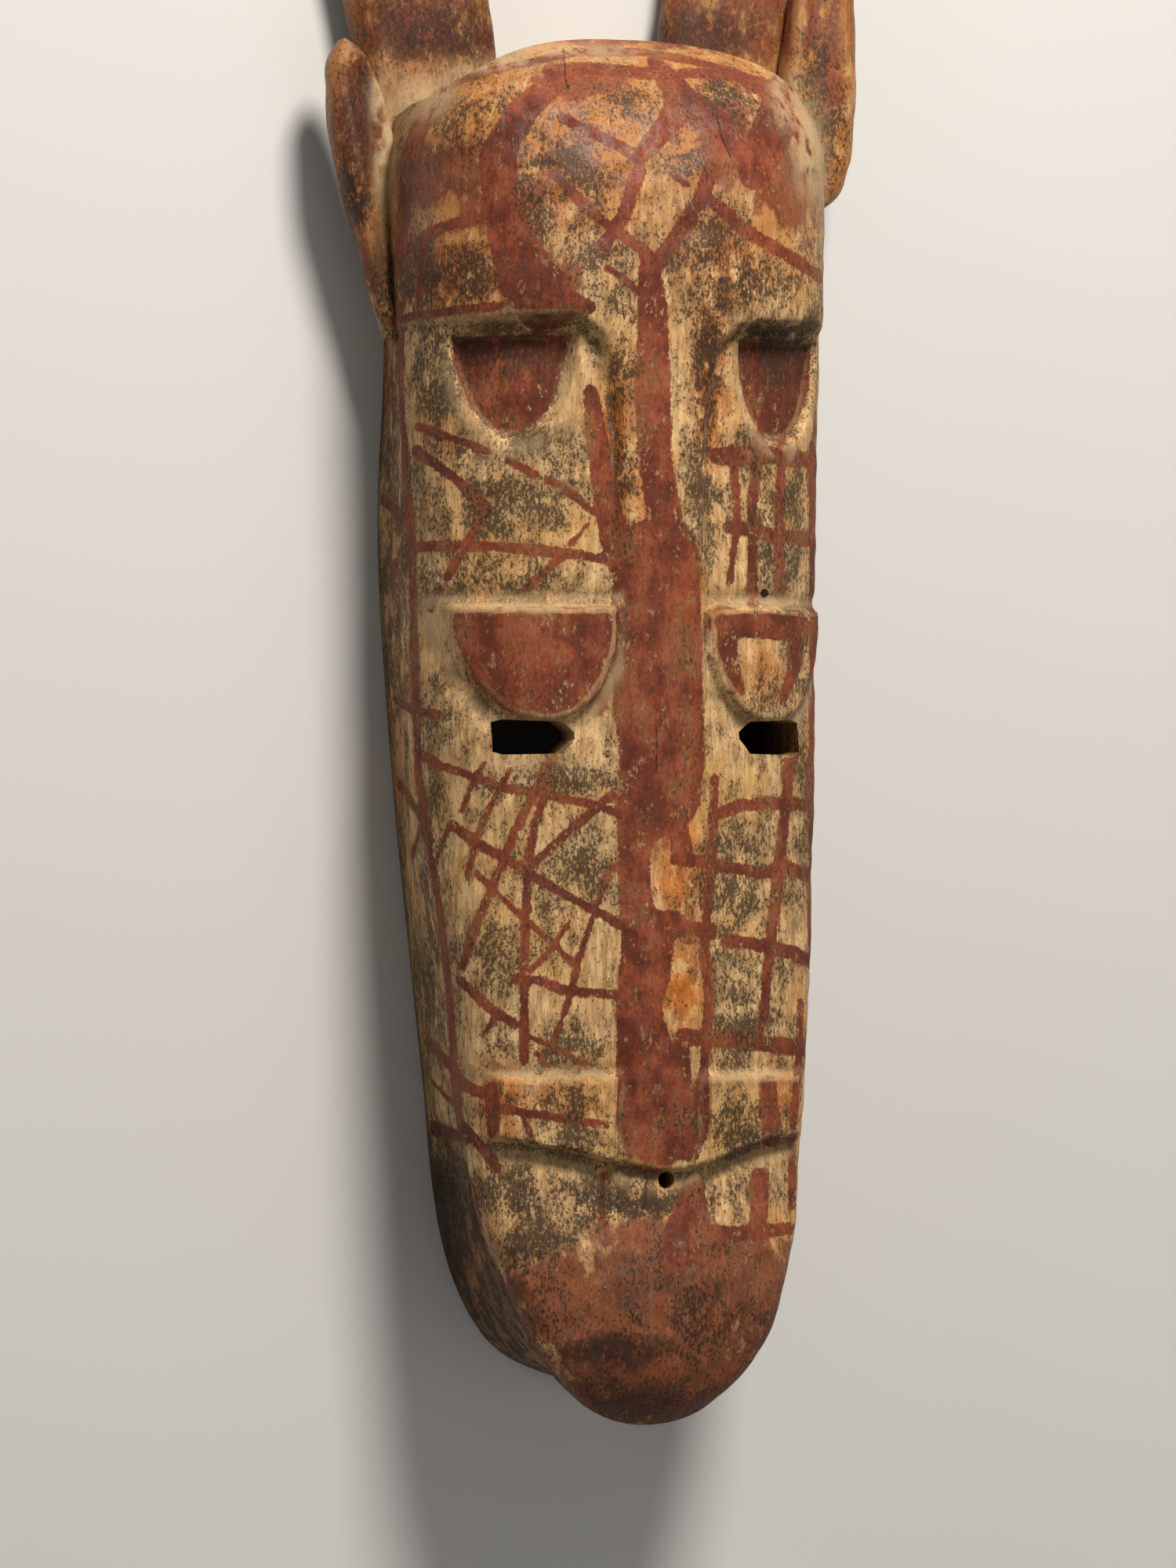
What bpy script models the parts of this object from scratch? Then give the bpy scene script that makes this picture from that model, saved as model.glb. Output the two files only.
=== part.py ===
"""A carved wooden face mask with two broad horns and two leaf ears, lying on the rim of its hollow back.

X runs across the face, Y from the chin to the horns and Z out of the face. Lengths are in metres.
"""

import math

import bmesh
import bpy
import numpy as np

# Driving dimensions
LENGTH = 0.493  # chin tip to crown
WIDTH = 0.156  # across the widest part of the forehead
DEPTH = 0.100  # back rim to the middle of the face
BROW_RISE = 0.0065  # how far the forehead stands over the eyes
BROW_CORNER = 0.014  # radius with which the brow turns down into the nose
LIP_REACH = 0.013  # how far below the lip its undercut runs out
CUT_EDGE = 0.0025  # width over which a carved edge falls
WALL = 0.011  # thickness of the carved wall
HORN_LENGTH = 0.225
HORN_LEAN = math.radians(8)
EYE_SINK = 0.0055
CHEEK_RISE = 0.0045
PAD_RISE = 0.0035
LIP_UNDERCUT = 0.0045
BREATH_HOLE = 0.0064

# Heights of the features above the chin tip
HALF = WIDTH / 2
RIM_WIDTH = 0.885 * WIDTH
HORN_WIDTH, HORN_THICKNESS = 0.770 * HALF, 0.240 * DEPTH
EAR_WIDTH, EAR_THICKNESS = 0.333 * HALF, 0.200 * DEPTH
NOSE_WIDTH, BROW_INNER = 0.474 * HALF, 0.282 * HALF
EYE_WIDTH, EYE_HEIGHT = 0.487 * HALF, 0.073 * LENGTH
CHEEK_WIDTH, CHEEK_HEIGHT = 0.692 * HALF, 0.083 * LENGTH
SLIT_WIDTH, SLIT_HEIGHT = 0.346 * HALF, 0.0254 * LENGTH
SIDE_LOW, SIDE_HIGH = 0.015 * LENGTH, 0.953 * LENGTH
BROW_Y = 0.7915 * LENGTH
EYE_Y = 0.7815 * LENGTH
CHEEK_Y = 0.587 * LENGTH
SLIT_Y = 0.494 * LENGTH
PAD_TOP = 0.251 * LENGTH
LIP_SIDE, LIP_MIDDLE = 0.206 * LENGTH, 0.183 * LENGTH
HOLE_Y = 0.1775 * LENGTH
EYE_X, CHEEK_X = 0.641 * HALF, 0.549 * HALF
SLIT_X = 0.570 * HALF
PAD_INNER, PAD_OUTER = 0.218 * HALF, 0.738 * HALF

# Resolution of the faceted solid
COLUMNS, ROWS, WALL_RINGS = 46, 104, 5
TRIANGLE_SHARE = 0.44

# Over 2, the power makes a cross-section fuller at its shoulders than an ellipse.
SECTION = 2.5
# How far the carving leans to the side where the face curves away
LEAN = 0.4
# A slit's outline, as shares of its width and height from its middle, the outer end positive
SLIT_OUTLINE = [
    (-0.50, -0.06), (-0.50, 0.14), (-0.34, 0.44), (0.36, 0.50),
    (0.50, 0.42), (0.50, -0.42), (0.38, -0.50), (-0.34, -0.47),
]

# Half-width of the face seen from the front, as (share of LENGTH, share of HALF)
FRONT_OUTLINE = [
    (0.015, 0.320), (0.035, 0.460), (0.060, 0.572), (0.100, 0.682), (0.140, 0.765), (0.180, 0.808),
    (0.235, 0.843), (0.320, 0.875), (0.460, 0.952), (0.685, 0.990), (0.810, 1.000), (0.880, 1.010),
    (0.922, 1.015), (0.953, 0.930),
]
# Half-width of the back rim, as (share of LENGTH, share of half the rim's width)
RIM_OUTLINE = [
    (0.023, 0.130), (0.032, 0.280), (0.046, 0.415), (0.060, 0.495), (0.087, 0.600), (0.122, 0.683),
    (0.157, 0.729), (0.235, 0.785), (0.318, 0.850), (0.460, 0.955), (0.685, 1.035), (0.745, 1.012),
    (0.790, 1.005), (0.880, 1.080), (0.940, 1.040),
]
RIM_LOW, RIM_HIGH = RIM_OUTLINE[0][0] * LENGTH, RIM_OUTLINE[-1][0] * LENGTH
RIM_CHIN, RIM_CROWN = 0.019 * LENGTH, 0.985 * LENGTH
# Height of the edge where the front turns into the side, as (share of LENGTH, share of DEPTH)
EDGE_HEIGHT = [
    (0.000, 0.870), (0.035, 0.890), (0.060, 0.910), (0.080, 0.880), (0.120, 0.816), (0.160, 0.750),
    (0.200, 0.715), (0.245, 0.680), (0.320, 0.675), (0.420, 0.530), (0.520, 0.440), (0.780, 0.430),
    (1.000, 0.400),
]
# Height of the ridge of forehead, nose and chin, as (share of LENGTH, share of DEPTH)
MIDDLE_HEIGHT = [
    (0.000, 0.880), (0.018, 0.985), (0.045, 1.055), (0.085, 1.090), (0.130, 1.070), (0.165, 1.040),
    (0.185, 1.050), (0.250, 1.060), (0.460, 1.065), (0.640, 1.060), (0.760, 1.065), (0.850, 1.085),
    (0.910, 1.050), (0.950, 0.965), (0.980, 0.830), (1.000, 0.660),
]
# Half-width of the hollow where the front begins, as (share of LENGTH, share of HALF)
HOLLOW_OUTLINE = [
    (0.085, 0.150), (0.110, 0.300), (0.145, 0.420), (0.180, 0.500), (0.235, 0.590), (0.320, 0.680),
    (0.460, 0.765), (0.685, 0.795), (0.850, 0.780), (0.925, 0.600),
]
HOLLOW_LOW, HOLLOW_HIGH = HOLLOW_OUTLINE[0][0] * LENGTH, HOLLOW_OUTLINE[-1][0] * LENGTH
HOLLOW_CHIN, HOLLOW_CROWN = 0.070 * LENGTH, 0.955 * LENGTH


def profile(at, stations, along=1.0, across=1.0):
    """A smooth curve through (place, value) stations."""
    places, values = np.array(stations).T
    places, values = places * along, values * across
    slopes = np.gradient(values, places)
    i = np.clip(np.searchsorted(places, at) - 1, 0, len(places) - 2)
    span = places[i + 1] - places[i]
    u = np.clip((at - places[i]) / span, 0, 1)
    rest = 1 - u
    return (
        rest**2 * (1 + 2 * u) * values[i]
        + u**2 * (1 + 2 * rest) * values[i + 1]
        + u * rest * span * (rest * slopes[i] - u * slopes[i + 1])
    )


def soft(x):
    """0 below 0, 1 above 1 and a smooth rise between."""
    x = np.clip(x, 0, 1)
    return x * x * (3 - 2 * x)


def inside(distance, edge=CUT_EDGE):
    """1 where the distance into a shape is positive, 0 outside, over an edge of that width."""
    return soft(distance / edge + 0.5)


def section(s):
    """Height of the rounded cross-section at s, from -1 to 1 across it."""
    return np.clip(1 - np.abs(s) ** SECTION, 0, 1) ** (1 / SECTION)


def half_moon(x, y, top, width, height):
    """Distance into a half-moon with a flat upper side."""
    rim = 1 - np.hypot(x / (width / 2), (y - top) / height)
    return np.minimum(top - y, rim * min(width / 2, height))


def lip_line(x):
    """Height of the lower edge of the mouth, which dips in the middle."""
    return LIP_MIDDLE + (LIP_SIDE - LIP_MIDDLE) * soft(np.abs(x) / PAD_OUTER) ** 0.8


def relief(x, y):
    """How far the carving stands out of the plain face at a place on it."""
    side = np.abs(x)
    below = BROW_Y - y
    # The eye field is cut back between brow and nose, and runs out towards the cheeks.
    corner = BROW_CORNER
    nose_side = side - BROW_INNER * (1 - 0.20 * soft(below / (0.06 * LENGTH)))
    field = corner - np.hypot(np.minimum(nose_side - corner, 0), np.minimum(below - corner, 0))
    edge = CUT_EDGE * (1.4 + 5.6 * soft((below - 0.08 * LENGTH) / (0.20 * LENGTH)))
    depth = BROW_RISE * (1 - 0.55 * soft(below / (0.35 * LENGTH)))
    at_side = soft((0.99 * HALF - side) / (0.22 * HALF))
    brow = -depth * inside(field, edge) * (0.3 + 0.7 * at_side)
    eye = -EYE_SINK * inside(half_moon(side - EYE_X, y, EYE_Y, EYE_WIDTH, EYE_HEIGHT))
    moon = half_moon(side - CHEEK_X, y, CHEEK_Y, CHEEK_WIDTH, CHEEK_HEIGHT)
    cheek = CHEEK_RISE * inside(moon) * inside(side - 0.46 * NOSE_WIDTH)
    pad = np.minimum(np.minimum(side - PAD_INNER, PAD_OUTER - side), np.minimum(PAD_TOP - y, y - lip_line(x)))
    mouth = PAD_RISE * inside(pad)
    drop = np.clip(lip_line(x) - y, 0, None)
    under = np.exp(-((drop / LIP_REACH) ** 1.5)) * inside(1.03 * PAD_OUTER - side, 5 * CUT_EDGE)
    lip = -LIP_UNDERCUT * inside(lip_line(x) - y) * under
    return brow + eye + cheek + mouth + lip


def blank(name, columns, rows, rings):
    """A closed block over a grid: X and Y from -1 to 1 on its front, Z from 0 there to -1 at its back."""
    bm = bmesh.new()
    bmesh.ops.create_grid(bm, x_segments=columns, y_segments=rows, size=1)
    loop = [edge for edge in bm.edges if edge.is_boundary]
    for _ in range(rings):
        made = bmesh.ops.extrude_edge_only(bm, edges=loop)["geom"]
        loop = [item for item in made if isinstance(item, bmesh.types.BMEdge) and item.is_boundary]
        moved = {vertex for edge in loop for vertex in edge.verts}
        bmesh.ops.translate(bm, verts=list(moved), vec=(0, 0, -1 / rings))
    bmesh.ops.holes_fill(bm, edges=loop, sides=0)
    bmesh.ops.recalc_face_normals(bm, faces=bm.faces)
    mesh = bpy.data.meshes.new(name)
    bm.to_mesh(mesh)
    bm.free()
    return bpy.data.objects.new(name, mesh)


def move_vertices(obj, place):
    """Moves every vertex to where place() puts its coordinates."""
    vertices = obj.data.vertices
    spots = np.empty(3 * len(vertices))
    vertices.foreach_get("co", spots)
    vertices.foreach_set("co", np.column_stack(place(*spots.reshape(-1, 3).T)).ravel())
    obj.data.update()


def shield_plan(s, t, outline, across, low, high, chin, crown):
    """X and Y of a place on an outline's inside, s from -1 to 1 across it and t from 0 to 1 up it."""
    y = low + (high - low) * t
    x = profile(y, outline, LENGTH, across) * s
    y = y - (low - chin) * (1 - s**2) * (1 - t) ** 3 + (crown - high) * (1 - np.abs(s) ** 2.6) * t**3
    return x, y


def face_place(a, b, c):
    """The outer skin: the carved front, the side walls and the flat back that the hollow opens."""
    s, t = np.sin(a * math.pi / 2), 0.5 + 0.5 * (1.08 * b - 0.08 * b**9)
    side_y = SIDE_LOW + (SIDE_HIGH - SIDE_LOW) * t
    x, y = shield_plan(s, t, FRONT_OUTLINE, HALF, SIDE_LOW, SIDE_HIGH, 0, LENGTH)
    edge = profile(side_y, EDGE_HEIGHT, LENGTH, DEPTH)
    rise = profile(y, MIDDLE_HEIGHT, LENGTH, DEPTH) - edge
    level = section(s)
    half_width = np.abs(profile(side_y, FRONT_OUTLINE, LENGTH, HALF))
    # The carving stands out along the section's normal, which is turned up towards the view.
    across = np.sign(s) * np.abs(s) ** (SECTION - 1) / half_width
    out = level ** (SECTION - 1) / np.maximum(rise, 0.1 * DEPTH)
    length = np.hypot(across, out)
    sideways = LEAN * across / length
    carved = relief(x, y)
    for _ in range(2):
        carved = relief(x + carved * sideways, y)
    front = (x + carved * sideways, y, edge + rise * level + carved * out / length)
    back = shield_plan(s, t, RIM_OUTLINE, RIM_WIDTH / 2, RIM_LOW, RIM_HIGH, RIM_CHIN, RIM_CROWN)
    # Below the mouth the side steps in at once, behind the overhanging chin.
    step = 1 + 5 * soft((0.22 * LENGTH - side_y) / (0.06 * LENGTH))
    share = 1 - np.clip(1 + c, 0, 1) ** step
    return (
        front[0] + (back[0] - front[0]) * share,
        front[1] + (back[1] - front[1]) * share,
        front[2] * (1 + c),
    )


def hollow_place(a, b, c):
    """The hollow that takes the wearer's face, from the wall's inner side out past the rim."""
    s, t = np.sin(a * math.pi / 2), 0.5 + 0.5 * b
    side_y = HOLLOW_LOW + (HOLLOW_HIGH - HOLLOW_LOW) * t
    x, y = shield_plan(s, t, HOLLOW_OUTLINE, HALF, HOLLOW_LOW, HOLLOW_HIGH, HOLLOW_CHIN, HOLLOW_CROWN)
    edge = profile(side_y, EDGE_HEIGHT, LENGTH, DEPTH) - 1.2 * WALL
    edge = np.minimum(edge, 0.62 * DEPTH)
    ends = soft((y - HOLLOW_CHIN) / (0.16 * LENGTH)) * soft((HOLLOW_CROWN - y) / (0.10 * LENGTH))
    middle = (profile(y, MIDDLE_HEIGHT, LENGTH, DEPTH) - 1.6 * WALL - edge) * (0.25 + 0.75 * ends)
    z = edge + middle * section(s)
    back_x = x * (1 - 0.06 * (x / HALF) ** 2)
    return x + (back_x - x) * -c, y, z * (1 + c) + 0.1 * DEPTH * c


def prong_place(base, lean, length, width, thickness, widths, curve):
    """A flat carved prong along its own length: widths are (share of length, share of width) stations."""

    def place(a, b, c):
        up = c + 0.5
        angle = np.arctan2(b, a)
        radius = np.hypot(a, b)
        share = profile(up, widths)
        # Powers under 1 make the section a rounded rectangle rather than an ellipse.
        x = radius * share * width / 2 * np.sign(a) * np.abs(np.cos(angle)) ** 0.75
        z = radius * (0.35 + 0.65 * share) * thickness / 2 * np.sign(b) * np.abs(np.sin(angle)) ** 0.8
        side = math.copysign(1, base[0])
        along = length * up
        turned = lean + curve * up
        return (
            base[0] + side * (along * np.sin(turned)) + x * np.cos(turned),
            base[1] + along * np.cos(turned) - side * x * np.sin(turned),
            base[2] + z,
        )

    return place


def prong(name, segments, rings, place):
    """A cylinder with rings along it, moved into a horn or an ear."""
    bm = bmesh.new()
    bmesh.ops.create_cone(bm, cap_ends=True, segments=segments, radius1=1, radius2=1, depth=1)
    upright = [edge for edge in bm.edges if abs(edge.verts[0].co.z - edge.verts[1].co.z) > 0.5]
    bmesh.ops.subdivide_edges(bm, edges=upright, cuts=rings, use_grid_fill=False)
    mesh = bpy.data.meshes.new(name)
    bm.to_mesh(mesh)
    bm.free()
    obj = bpy.data.objects.new(name, mesh)
    move_vertices(obj, place)
    # place() swaps two axes, which turns the faces inwards.
    obj.data.flip_normals()
    return obj


def slit(name, side):
    """A see-through slit under a cheek, pointed towards the nose."""
    bm = bmesh.new()
    ends = []
    for z in (-0.5, 0.5):
        ends.append([bm.verts.new((x, y, z)) for x, y in SLIT_OUTLINE])
    bm.faces.new(ends[0])
    bm.faces.new(list(reversed(ends[1])))
    for i in range(len(SLIT_OUTLINE)):
        j = (i + 1) % len(SLIT_OUTLINE)
        bm.faces.new((ends[0][i], ends[1][i], ends[1][j], ends[0][j]))
    bmesh.ops.recalc_face_normals(bm, faces=bm.faces)
    mesh = bpy.data.meshes.new(name)
    bm.to_mesh(mesh)
    bm.free()
    obj = bpy.data.objects.new(name, mesh)

    def place(x, y, z):
        return side * (SLIT_X + x * SLIT_WIDTH), SLIT_Y + y * SLIT_HEIGHT, DEPTH * (0.86 + 0.7 * z)

    move_vertices(obj, place)
    if side < 0:
        obj.data.flip_normals()
    return obj


def hole(name, x, y, z, diameter, depth, segments=16):
    """A round drilled hole running back along Z."""
    bpy.ops.mesh.primitive_cylinder_add(
        vertices=segments, radius=diameter / 2, depth=depth, location=(x, y, z)
    )
    obj = bpy.context.object
    obj.name = name
    for collection in list(obj.users_collection):
        collection.objects.unlink(obj)
    return obj


def wood(name):
    """Dry pale wood with brown-red paint over it."""
    material = bpy.data.materials.new(name)
    material.use_nodes = True
    shader = material.node_tree.nodes["Principled BSDF"]
    shader.inputs["Base Color"].default_value = (0.36, 0.22, 0.12, 1)
    shader.inputs["Roughness"].default_value = 0.75
    shader.inputs["Metallic"].default_value = 0
    return material


def combine(body, others, operation):
    """Joins or cuts body with each of the others."""
    for other in others:
        modifier = body.modifiers.new(f"{operation.lower()} {other.name}", "BOOLEAN")
        modifier.operation = operation
        modifier.object = other


def put(collection, obj, guide=False):
    collection.objects.link(obj)
    if guide:
        obj.hide_render = True
        obj.display_type = "WIRE"
    return obj


def main():
    for obj in list(bpy.data.objects):
        bpy.data.objects.remove(obj)
    part = bpy.data.collections.new("carved mask")
    cutters = bpy.data.collections.new("cutters")
    for collection in (part, cutters):
        bpy.context.scene.collection.children.link(collection)

    mask = put(part, blank("carved_mask", COLUMNS, ROWS, WALL_RINGS))
    move_vertices(mask, face_place)
    mask.data.materials.append(wood("painted wood"))
    fewer = mask.modifiers.new("fewer facets", "DECIMATE")
    fewer.ratio = TRIANGLE_SHARE

    horn_widths = [(0, 0.84), (0.2, 0.88), (0.4, 0.92), (0.65, 0.86), (0.85, 0.68), (0.95, 0.48), (1, 0.22)]
    left_ear_widths = [(0, 0.40), (0.12, 0.50), (0.30, 0.64), (0.65, 0.88), (0.85, 0.70), (1, 0.30)]
    right_ear_widths = [(0, 0.68), (0.12, 0.96), (0.35, 1.12), (0.65, 0.96), (0.85, 0.76), (1, 0.30)]
    added = []
    for side, word in ((-1, "left"), (1, "right")):
        horn = prong_place(
            (side * 0.655 * HALF, 0.905 * LENGTH, HORN_THICKNESS / 2 + 0.01 * DEPTH),
            HORN_LEAN, HORN_LENGTH, HORN_WIDTH, HORN_THICKNESS, horn_widths, 0.06,
        )
        added.append(put(cutters, prong(f"horn_{word}", 20, 11, horn), guide=True))
    left_ear = prong_place(
        (-0.945 * HALF, 0.785 * LENGTH, 0.29 * DEPTH),
        math.radians(10), 0.220 * LENGTH, EAR_WIDTH, EAR_THICKNESS, left_ear_widths, 0.02,
    )
    right_ear = prong_place(
        (1.105 * HALF, 0.889 * LENGTH, 0.29 * DEPTH),
        math.radians(2.5), 0.220 * LENGTH, EAR_WIDTH, EAR_THICKNESS, right_ear_widths, 0.02,
    )
    added.append(put(cutters, prong("ear_left", 14, 8, left_ear), guide=True))
    added.append(put(cutters, prong("ear_right", 14, 8, right_ear), guide=True))
    combine(mask, added, "UNION")

    hollow = put(cutters, blank("hollow", 18, 36, 3), guide=True)
    move_vertices(hollow, hollow_place)
    cuts = [hollow]
    for side, word in ((-1, "left"), (1, "right")):
        cuts.append(put(cutters, slit(f"slit_{word}", side), guide=True))
    breath = hole("breath_hole", 0.033 * HALF, HOLE_Y, DEPTH, BREATH_HOLE, 0.8 * DEPTH)
    cuts.append(put(cutters, breath, guide=True))
    combine(mask, cuts, "DIFFERENCE")

    # The origin is the middle of the bounding box's underside.
    bpy.context.view_layer.update()
    corners = np.array([mask.matrix_world @ corner.co for corner in mask.evaluated_get(
        bpy.context.evaluated_depsgraph_get()).to_mesh().vertices])
    middle = (corners.min(0) + corners.max(0)) / 2
    for obj in [mask, *added, *cuts]:
        obj.location.x -= middle[0]
        obj.location.y -= middle[1]


main()
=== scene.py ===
"""The carved and painted mask as it looks: worn brown-red lattice paint over pale, sooty wood."""

import math

import bmesh
import bpy
import numpy as np
from mathutils import Matrix, Vector


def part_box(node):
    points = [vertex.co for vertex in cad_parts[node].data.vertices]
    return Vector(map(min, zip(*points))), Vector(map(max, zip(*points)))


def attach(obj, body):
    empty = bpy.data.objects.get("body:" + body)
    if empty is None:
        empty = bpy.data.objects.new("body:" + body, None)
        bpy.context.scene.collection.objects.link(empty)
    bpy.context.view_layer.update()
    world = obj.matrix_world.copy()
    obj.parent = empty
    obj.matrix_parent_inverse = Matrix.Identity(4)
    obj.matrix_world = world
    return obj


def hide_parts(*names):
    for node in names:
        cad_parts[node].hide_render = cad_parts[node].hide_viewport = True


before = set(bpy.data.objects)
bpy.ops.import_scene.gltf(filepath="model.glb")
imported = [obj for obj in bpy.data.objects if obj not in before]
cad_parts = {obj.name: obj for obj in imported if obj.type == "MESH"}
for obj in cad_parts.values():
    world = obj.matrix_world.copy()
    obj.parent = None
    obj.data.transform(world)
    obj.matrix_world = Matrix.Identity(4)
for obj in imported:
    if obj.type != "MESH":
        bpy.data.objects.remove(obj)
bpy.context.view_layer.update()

# The mask's own sizes, in metres
LENGTH = 0.493  # chin tip to crown
WIDTH = 0.156  # across the widest part of the forehead
DEPTH = 0.100  # back rim to the middle of the face
WALL = 0.011  # thickness of the carved wall
BROW_RISE = 0.0065
BROW_CORNER = 0.014  # radius with which the brow turns down into the nose
LIP_REACH = 0.013  # how far below the lip its undercut runs out
CUT_EDGE = 0.0025  # width over which a carved edge falls
HORN_LENGTH = 0.225
HORN_LEAN = math.radians(8)
HORN_CURVE, EAR_CURVE = 0.06, 0.02  # further lean towards the end, in radians
EYE_SINK = 0.0055
CHEEK_RISE = 0.0045
PAD_RISE = 0.0035
LIP_UNDERCUT = 0.0045
BREATH_HOLE = 0.0064
BACK_TAPER = 0.06  # how much narrower the hollow gets towards its back, at the mask's sides

# The fine relief: height, then where it lies beside an edge and how wide it is, in metres
BROW_SWELL = (0.0016, 0.009, 0.009)
SOCKET_RIM = (0.0010, -0.003, 0.002)
MOON_GROOVE = (-0.0016, -0.0035, 0.0026)
PAD_GROOVE = (-0.0010, -0.003, 0.002)
CHEEK_HOLLOW = -0.0030
SOCKET_BOWL, BOWL_REACH = 0.0022, 0.012  # how far the middle of an eye bulges, and from where
EDGE_WAVER, RISE_WAVER = 0.0006, 0.0007  # how far the edges stray from straight
ADZE_FINE, ADZE_COARSE = 0.00028, 0.00045  # depth of the tool marks
GOUGES = 0.0007  # depth of the tool marks in the hollow
EAR_DISH = 0.0045

HALF = WIDTH / 2
RIM_WIDTH = 0.885 * WIDTH
HORN_WIDTH, HORN_THICKNESS = 0.770 * HALF, 0.240 * DEPTH
EAR_WIDTH, EAR_THICKNESS = 0.333 * HALF, 0.200 * DEPTH
NOSE_WIDTH, BROW_INNER = 0.474 * HALF, 0.282 * HALF
EYE_WIDTH, EYE_HEIGHT = 0.487 * HALF, 0.073 * LENGTH
CHEEK_WIDTH, CHEEK_HEIGHT = 0.692 * HALF, 0.083 * LENGTH
SLIT_WIDTH, SLIT_HEIGHT = 0.346 * HALF, 0.0254 * LENGTH
SIDE_LOW, SIDE_HIGH = 0.015 * LENGTH, 0.953 * LENGTH
CROWN_Y = 0.985 * LENGTH
BROW_Y = 0.7915 * LENGTH
EYE_Y = 0.7815 * LENGTH
CHEEK_Y = 0.587 * LENGTH
SLIT_Y = 0.494 * LENGTH
PAD_TOP = 0.251 * LENGTH
LIP_SIDE, LIP_MIDDLE = 0.206 * LENGTH, 0.183 * LENGTH
HOLE_Y = 0.1775 * LENGTH
EYE_X, CHEEK_X = 0.641 * HALF, 0.549 * HALF
SLIT_X = 0.570 * HALF
HORN_X, HORN_Y = 0.655 * HALF, 0.905 * LENGTH
PAD_INNER, PAD_OUTER = 0.218 * HALF, 0.738 * HALF

FACE_GRID, HOLLOW_GRID = (150, 430, 14), (40, 90, 6)  # columns, rows and rings round the side
HORN_GRID, EAR_GRID = (40, 60), (32, 36)  # segments around and rings along

# Over 2, the power makes a cross-section fuller at its shoulders than an ellipse.
SECTION = 2.5
# How far the carving leans to the side where the face curves away
LEAN = 0.4
# A slit's outline, as shares of its width and height from its middle, the outer end positive
SLIT_OUTLINE = [
    (-0.50, -0.06), (-0.50, 0.14), (-0.34, 0.44), (0.36, 0.50),
    (0.50, 0.42), (0.50, -0.42), (0.38, -0.50), (-0.34, -0.47),
]

# Half-width of the face seen from the front, as (share of LENGTH, share of HALF)
FRONT_OUTLINE = [
    (0.015, 0.320), (0.035, 0.460), (0.060, 0.572), (0.100, 0.682), (0.140, 0.765), (0.180, 0.808),
    (0.235, 0.843), (0.320, 0.875), (0.460, 0.952), (0.685, 0.990), (0.810, 1.000), (0.880, 1.010),
    (0.922, 1.015), (0.953, 0.930),
]
# Half-width of the back rim, as (share of LENGTH, share of half the rim's width)
RIM_OUTLINE = [
    (0.023, 0.130), (0.032, 0.280), (0.046, 0.415), (0.060, 0.495), (0.087, 0.600), (0.122, 0.683),
    (0.157, 0.729), (0.235, 0.785), (0.318, 0.850), (0.460, 0.955), (0.685, 1.035), (0.745, 1.012),
    (0.790, 1.005), (0.880, 1.080), (0.940, 1.040),
]
# Widths of horns and ears, as (share of length, share of width)
HORN_WIDTHS = [
    (0, 0.84), (0.2, 0.88), (0.4, 0.92), (0.65, 0.86), (0.85, 0.68), (0.95, 0.48), (0.99, 0.28), (1, 0.10),
]
LEFT_EAR_WIDTHS = [(0, 0.40), (0.12, 0.50), (0.30, 0.64), (0.65, 0.88), (0.85, 0.70), (0.96, 0.40), (1, 0.08)]
RIGHT_EAR_WIDTHS = [
    (0, 0.30), (0.05, 0.76), (0.14, 1.00), (0.35, 1.12), (0.65, 0.96), (0.85, 0.76), (0.96, 0.46), (1, 0.10),
]
# Each ear's side, its root as shares of HALF and LENGTH, its lean in degrees and its widths
EARS = [(-1, 0.945, 0.785, 10, LEFT_EAR_WIDTHS), (1, 1.105, 0.889, 2.5, RIGHT_EAR_WIDTHS)]
EAR_LENGTH = 0.220 * LENGTH
RIM_LOW, RIM_HIGH = RIM_OUTLINE[0][0] * LENGTH, RIM_OUTLINE[-1][0] * LENGTH
RIM_CHIN, RIM_CROWN = 0.019 * LENGTH, CROWN_Y
# Height of the edge where the front turns into the side, as (share of LENGTH, share of DEPTH)
EDGE_HEIGHT = [
    (0.000, 0.870), (0.035, 0.890), (0.060, 0.910), (0.080, 0.880), (0.120, 0.816), (0.160, 0.750),
    (0.200, 0.715), (0.245, 0.680), (0.320, 0.675), (0.420, 0.530), (0.520, 0.440), (0.780, 0.430),
    (1.000, 0.400),
]
# Height of the ridge of forehead, nose and chin, as (share of LENGTH, share of DEPTH)
MIDDLE_HEIGHT = [
    (0.000, 0.880), (0.018, 0.985), (0.045, 1.055), (0.085, 1.090), (0.130, 1.070), (0.165, 1.040),
    (0.185, 1.050), (0.250, 1.060), (0.460, 1.065), (0.640, 1.060), (0.760, 1.065), (0.850, 1.085),
    (0.910, 1.050), (0.950, 0.965), (0.980, 0.830), (1.000, 0.660),
]
HOLLOW_OUTLINE = [
    (0.085, 0.150), (0.110, 0.300), (0.145, 0.420), (0.180, 0.500), (0.235, 0.590), (0.320, 0.680),
    (0.460, 0.765), (0.685, 0.795), (0.850, 0.780), (0.925, 0.600),
]
HOLLOW_LOW, HOLLOW_HIGH = HOLLOW_OUTLINE[0][0] * LENGTH, HOLLOW_OUTLINE[-1][0] * LENGTH
HOLLOW_CHIN, HOLLOW_CROWN = 0.070 * LENGTH, 0.955 * LENGTH

# The photograph sees the face from 20 degrees to its left. Its pixels give the places of paint and dirt.
TURN = math.radians(20)
PIXELS_PER_METRE = 3600
MIDDLE_COLUMN, CHIN_ROW = 816, 1817
EYE_PLANE = 0.080  # height over the rim at which those pixels are measured
FRONT_FROM = 0.035  # height over the rim above which the half-moons and the lip lie

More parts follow.
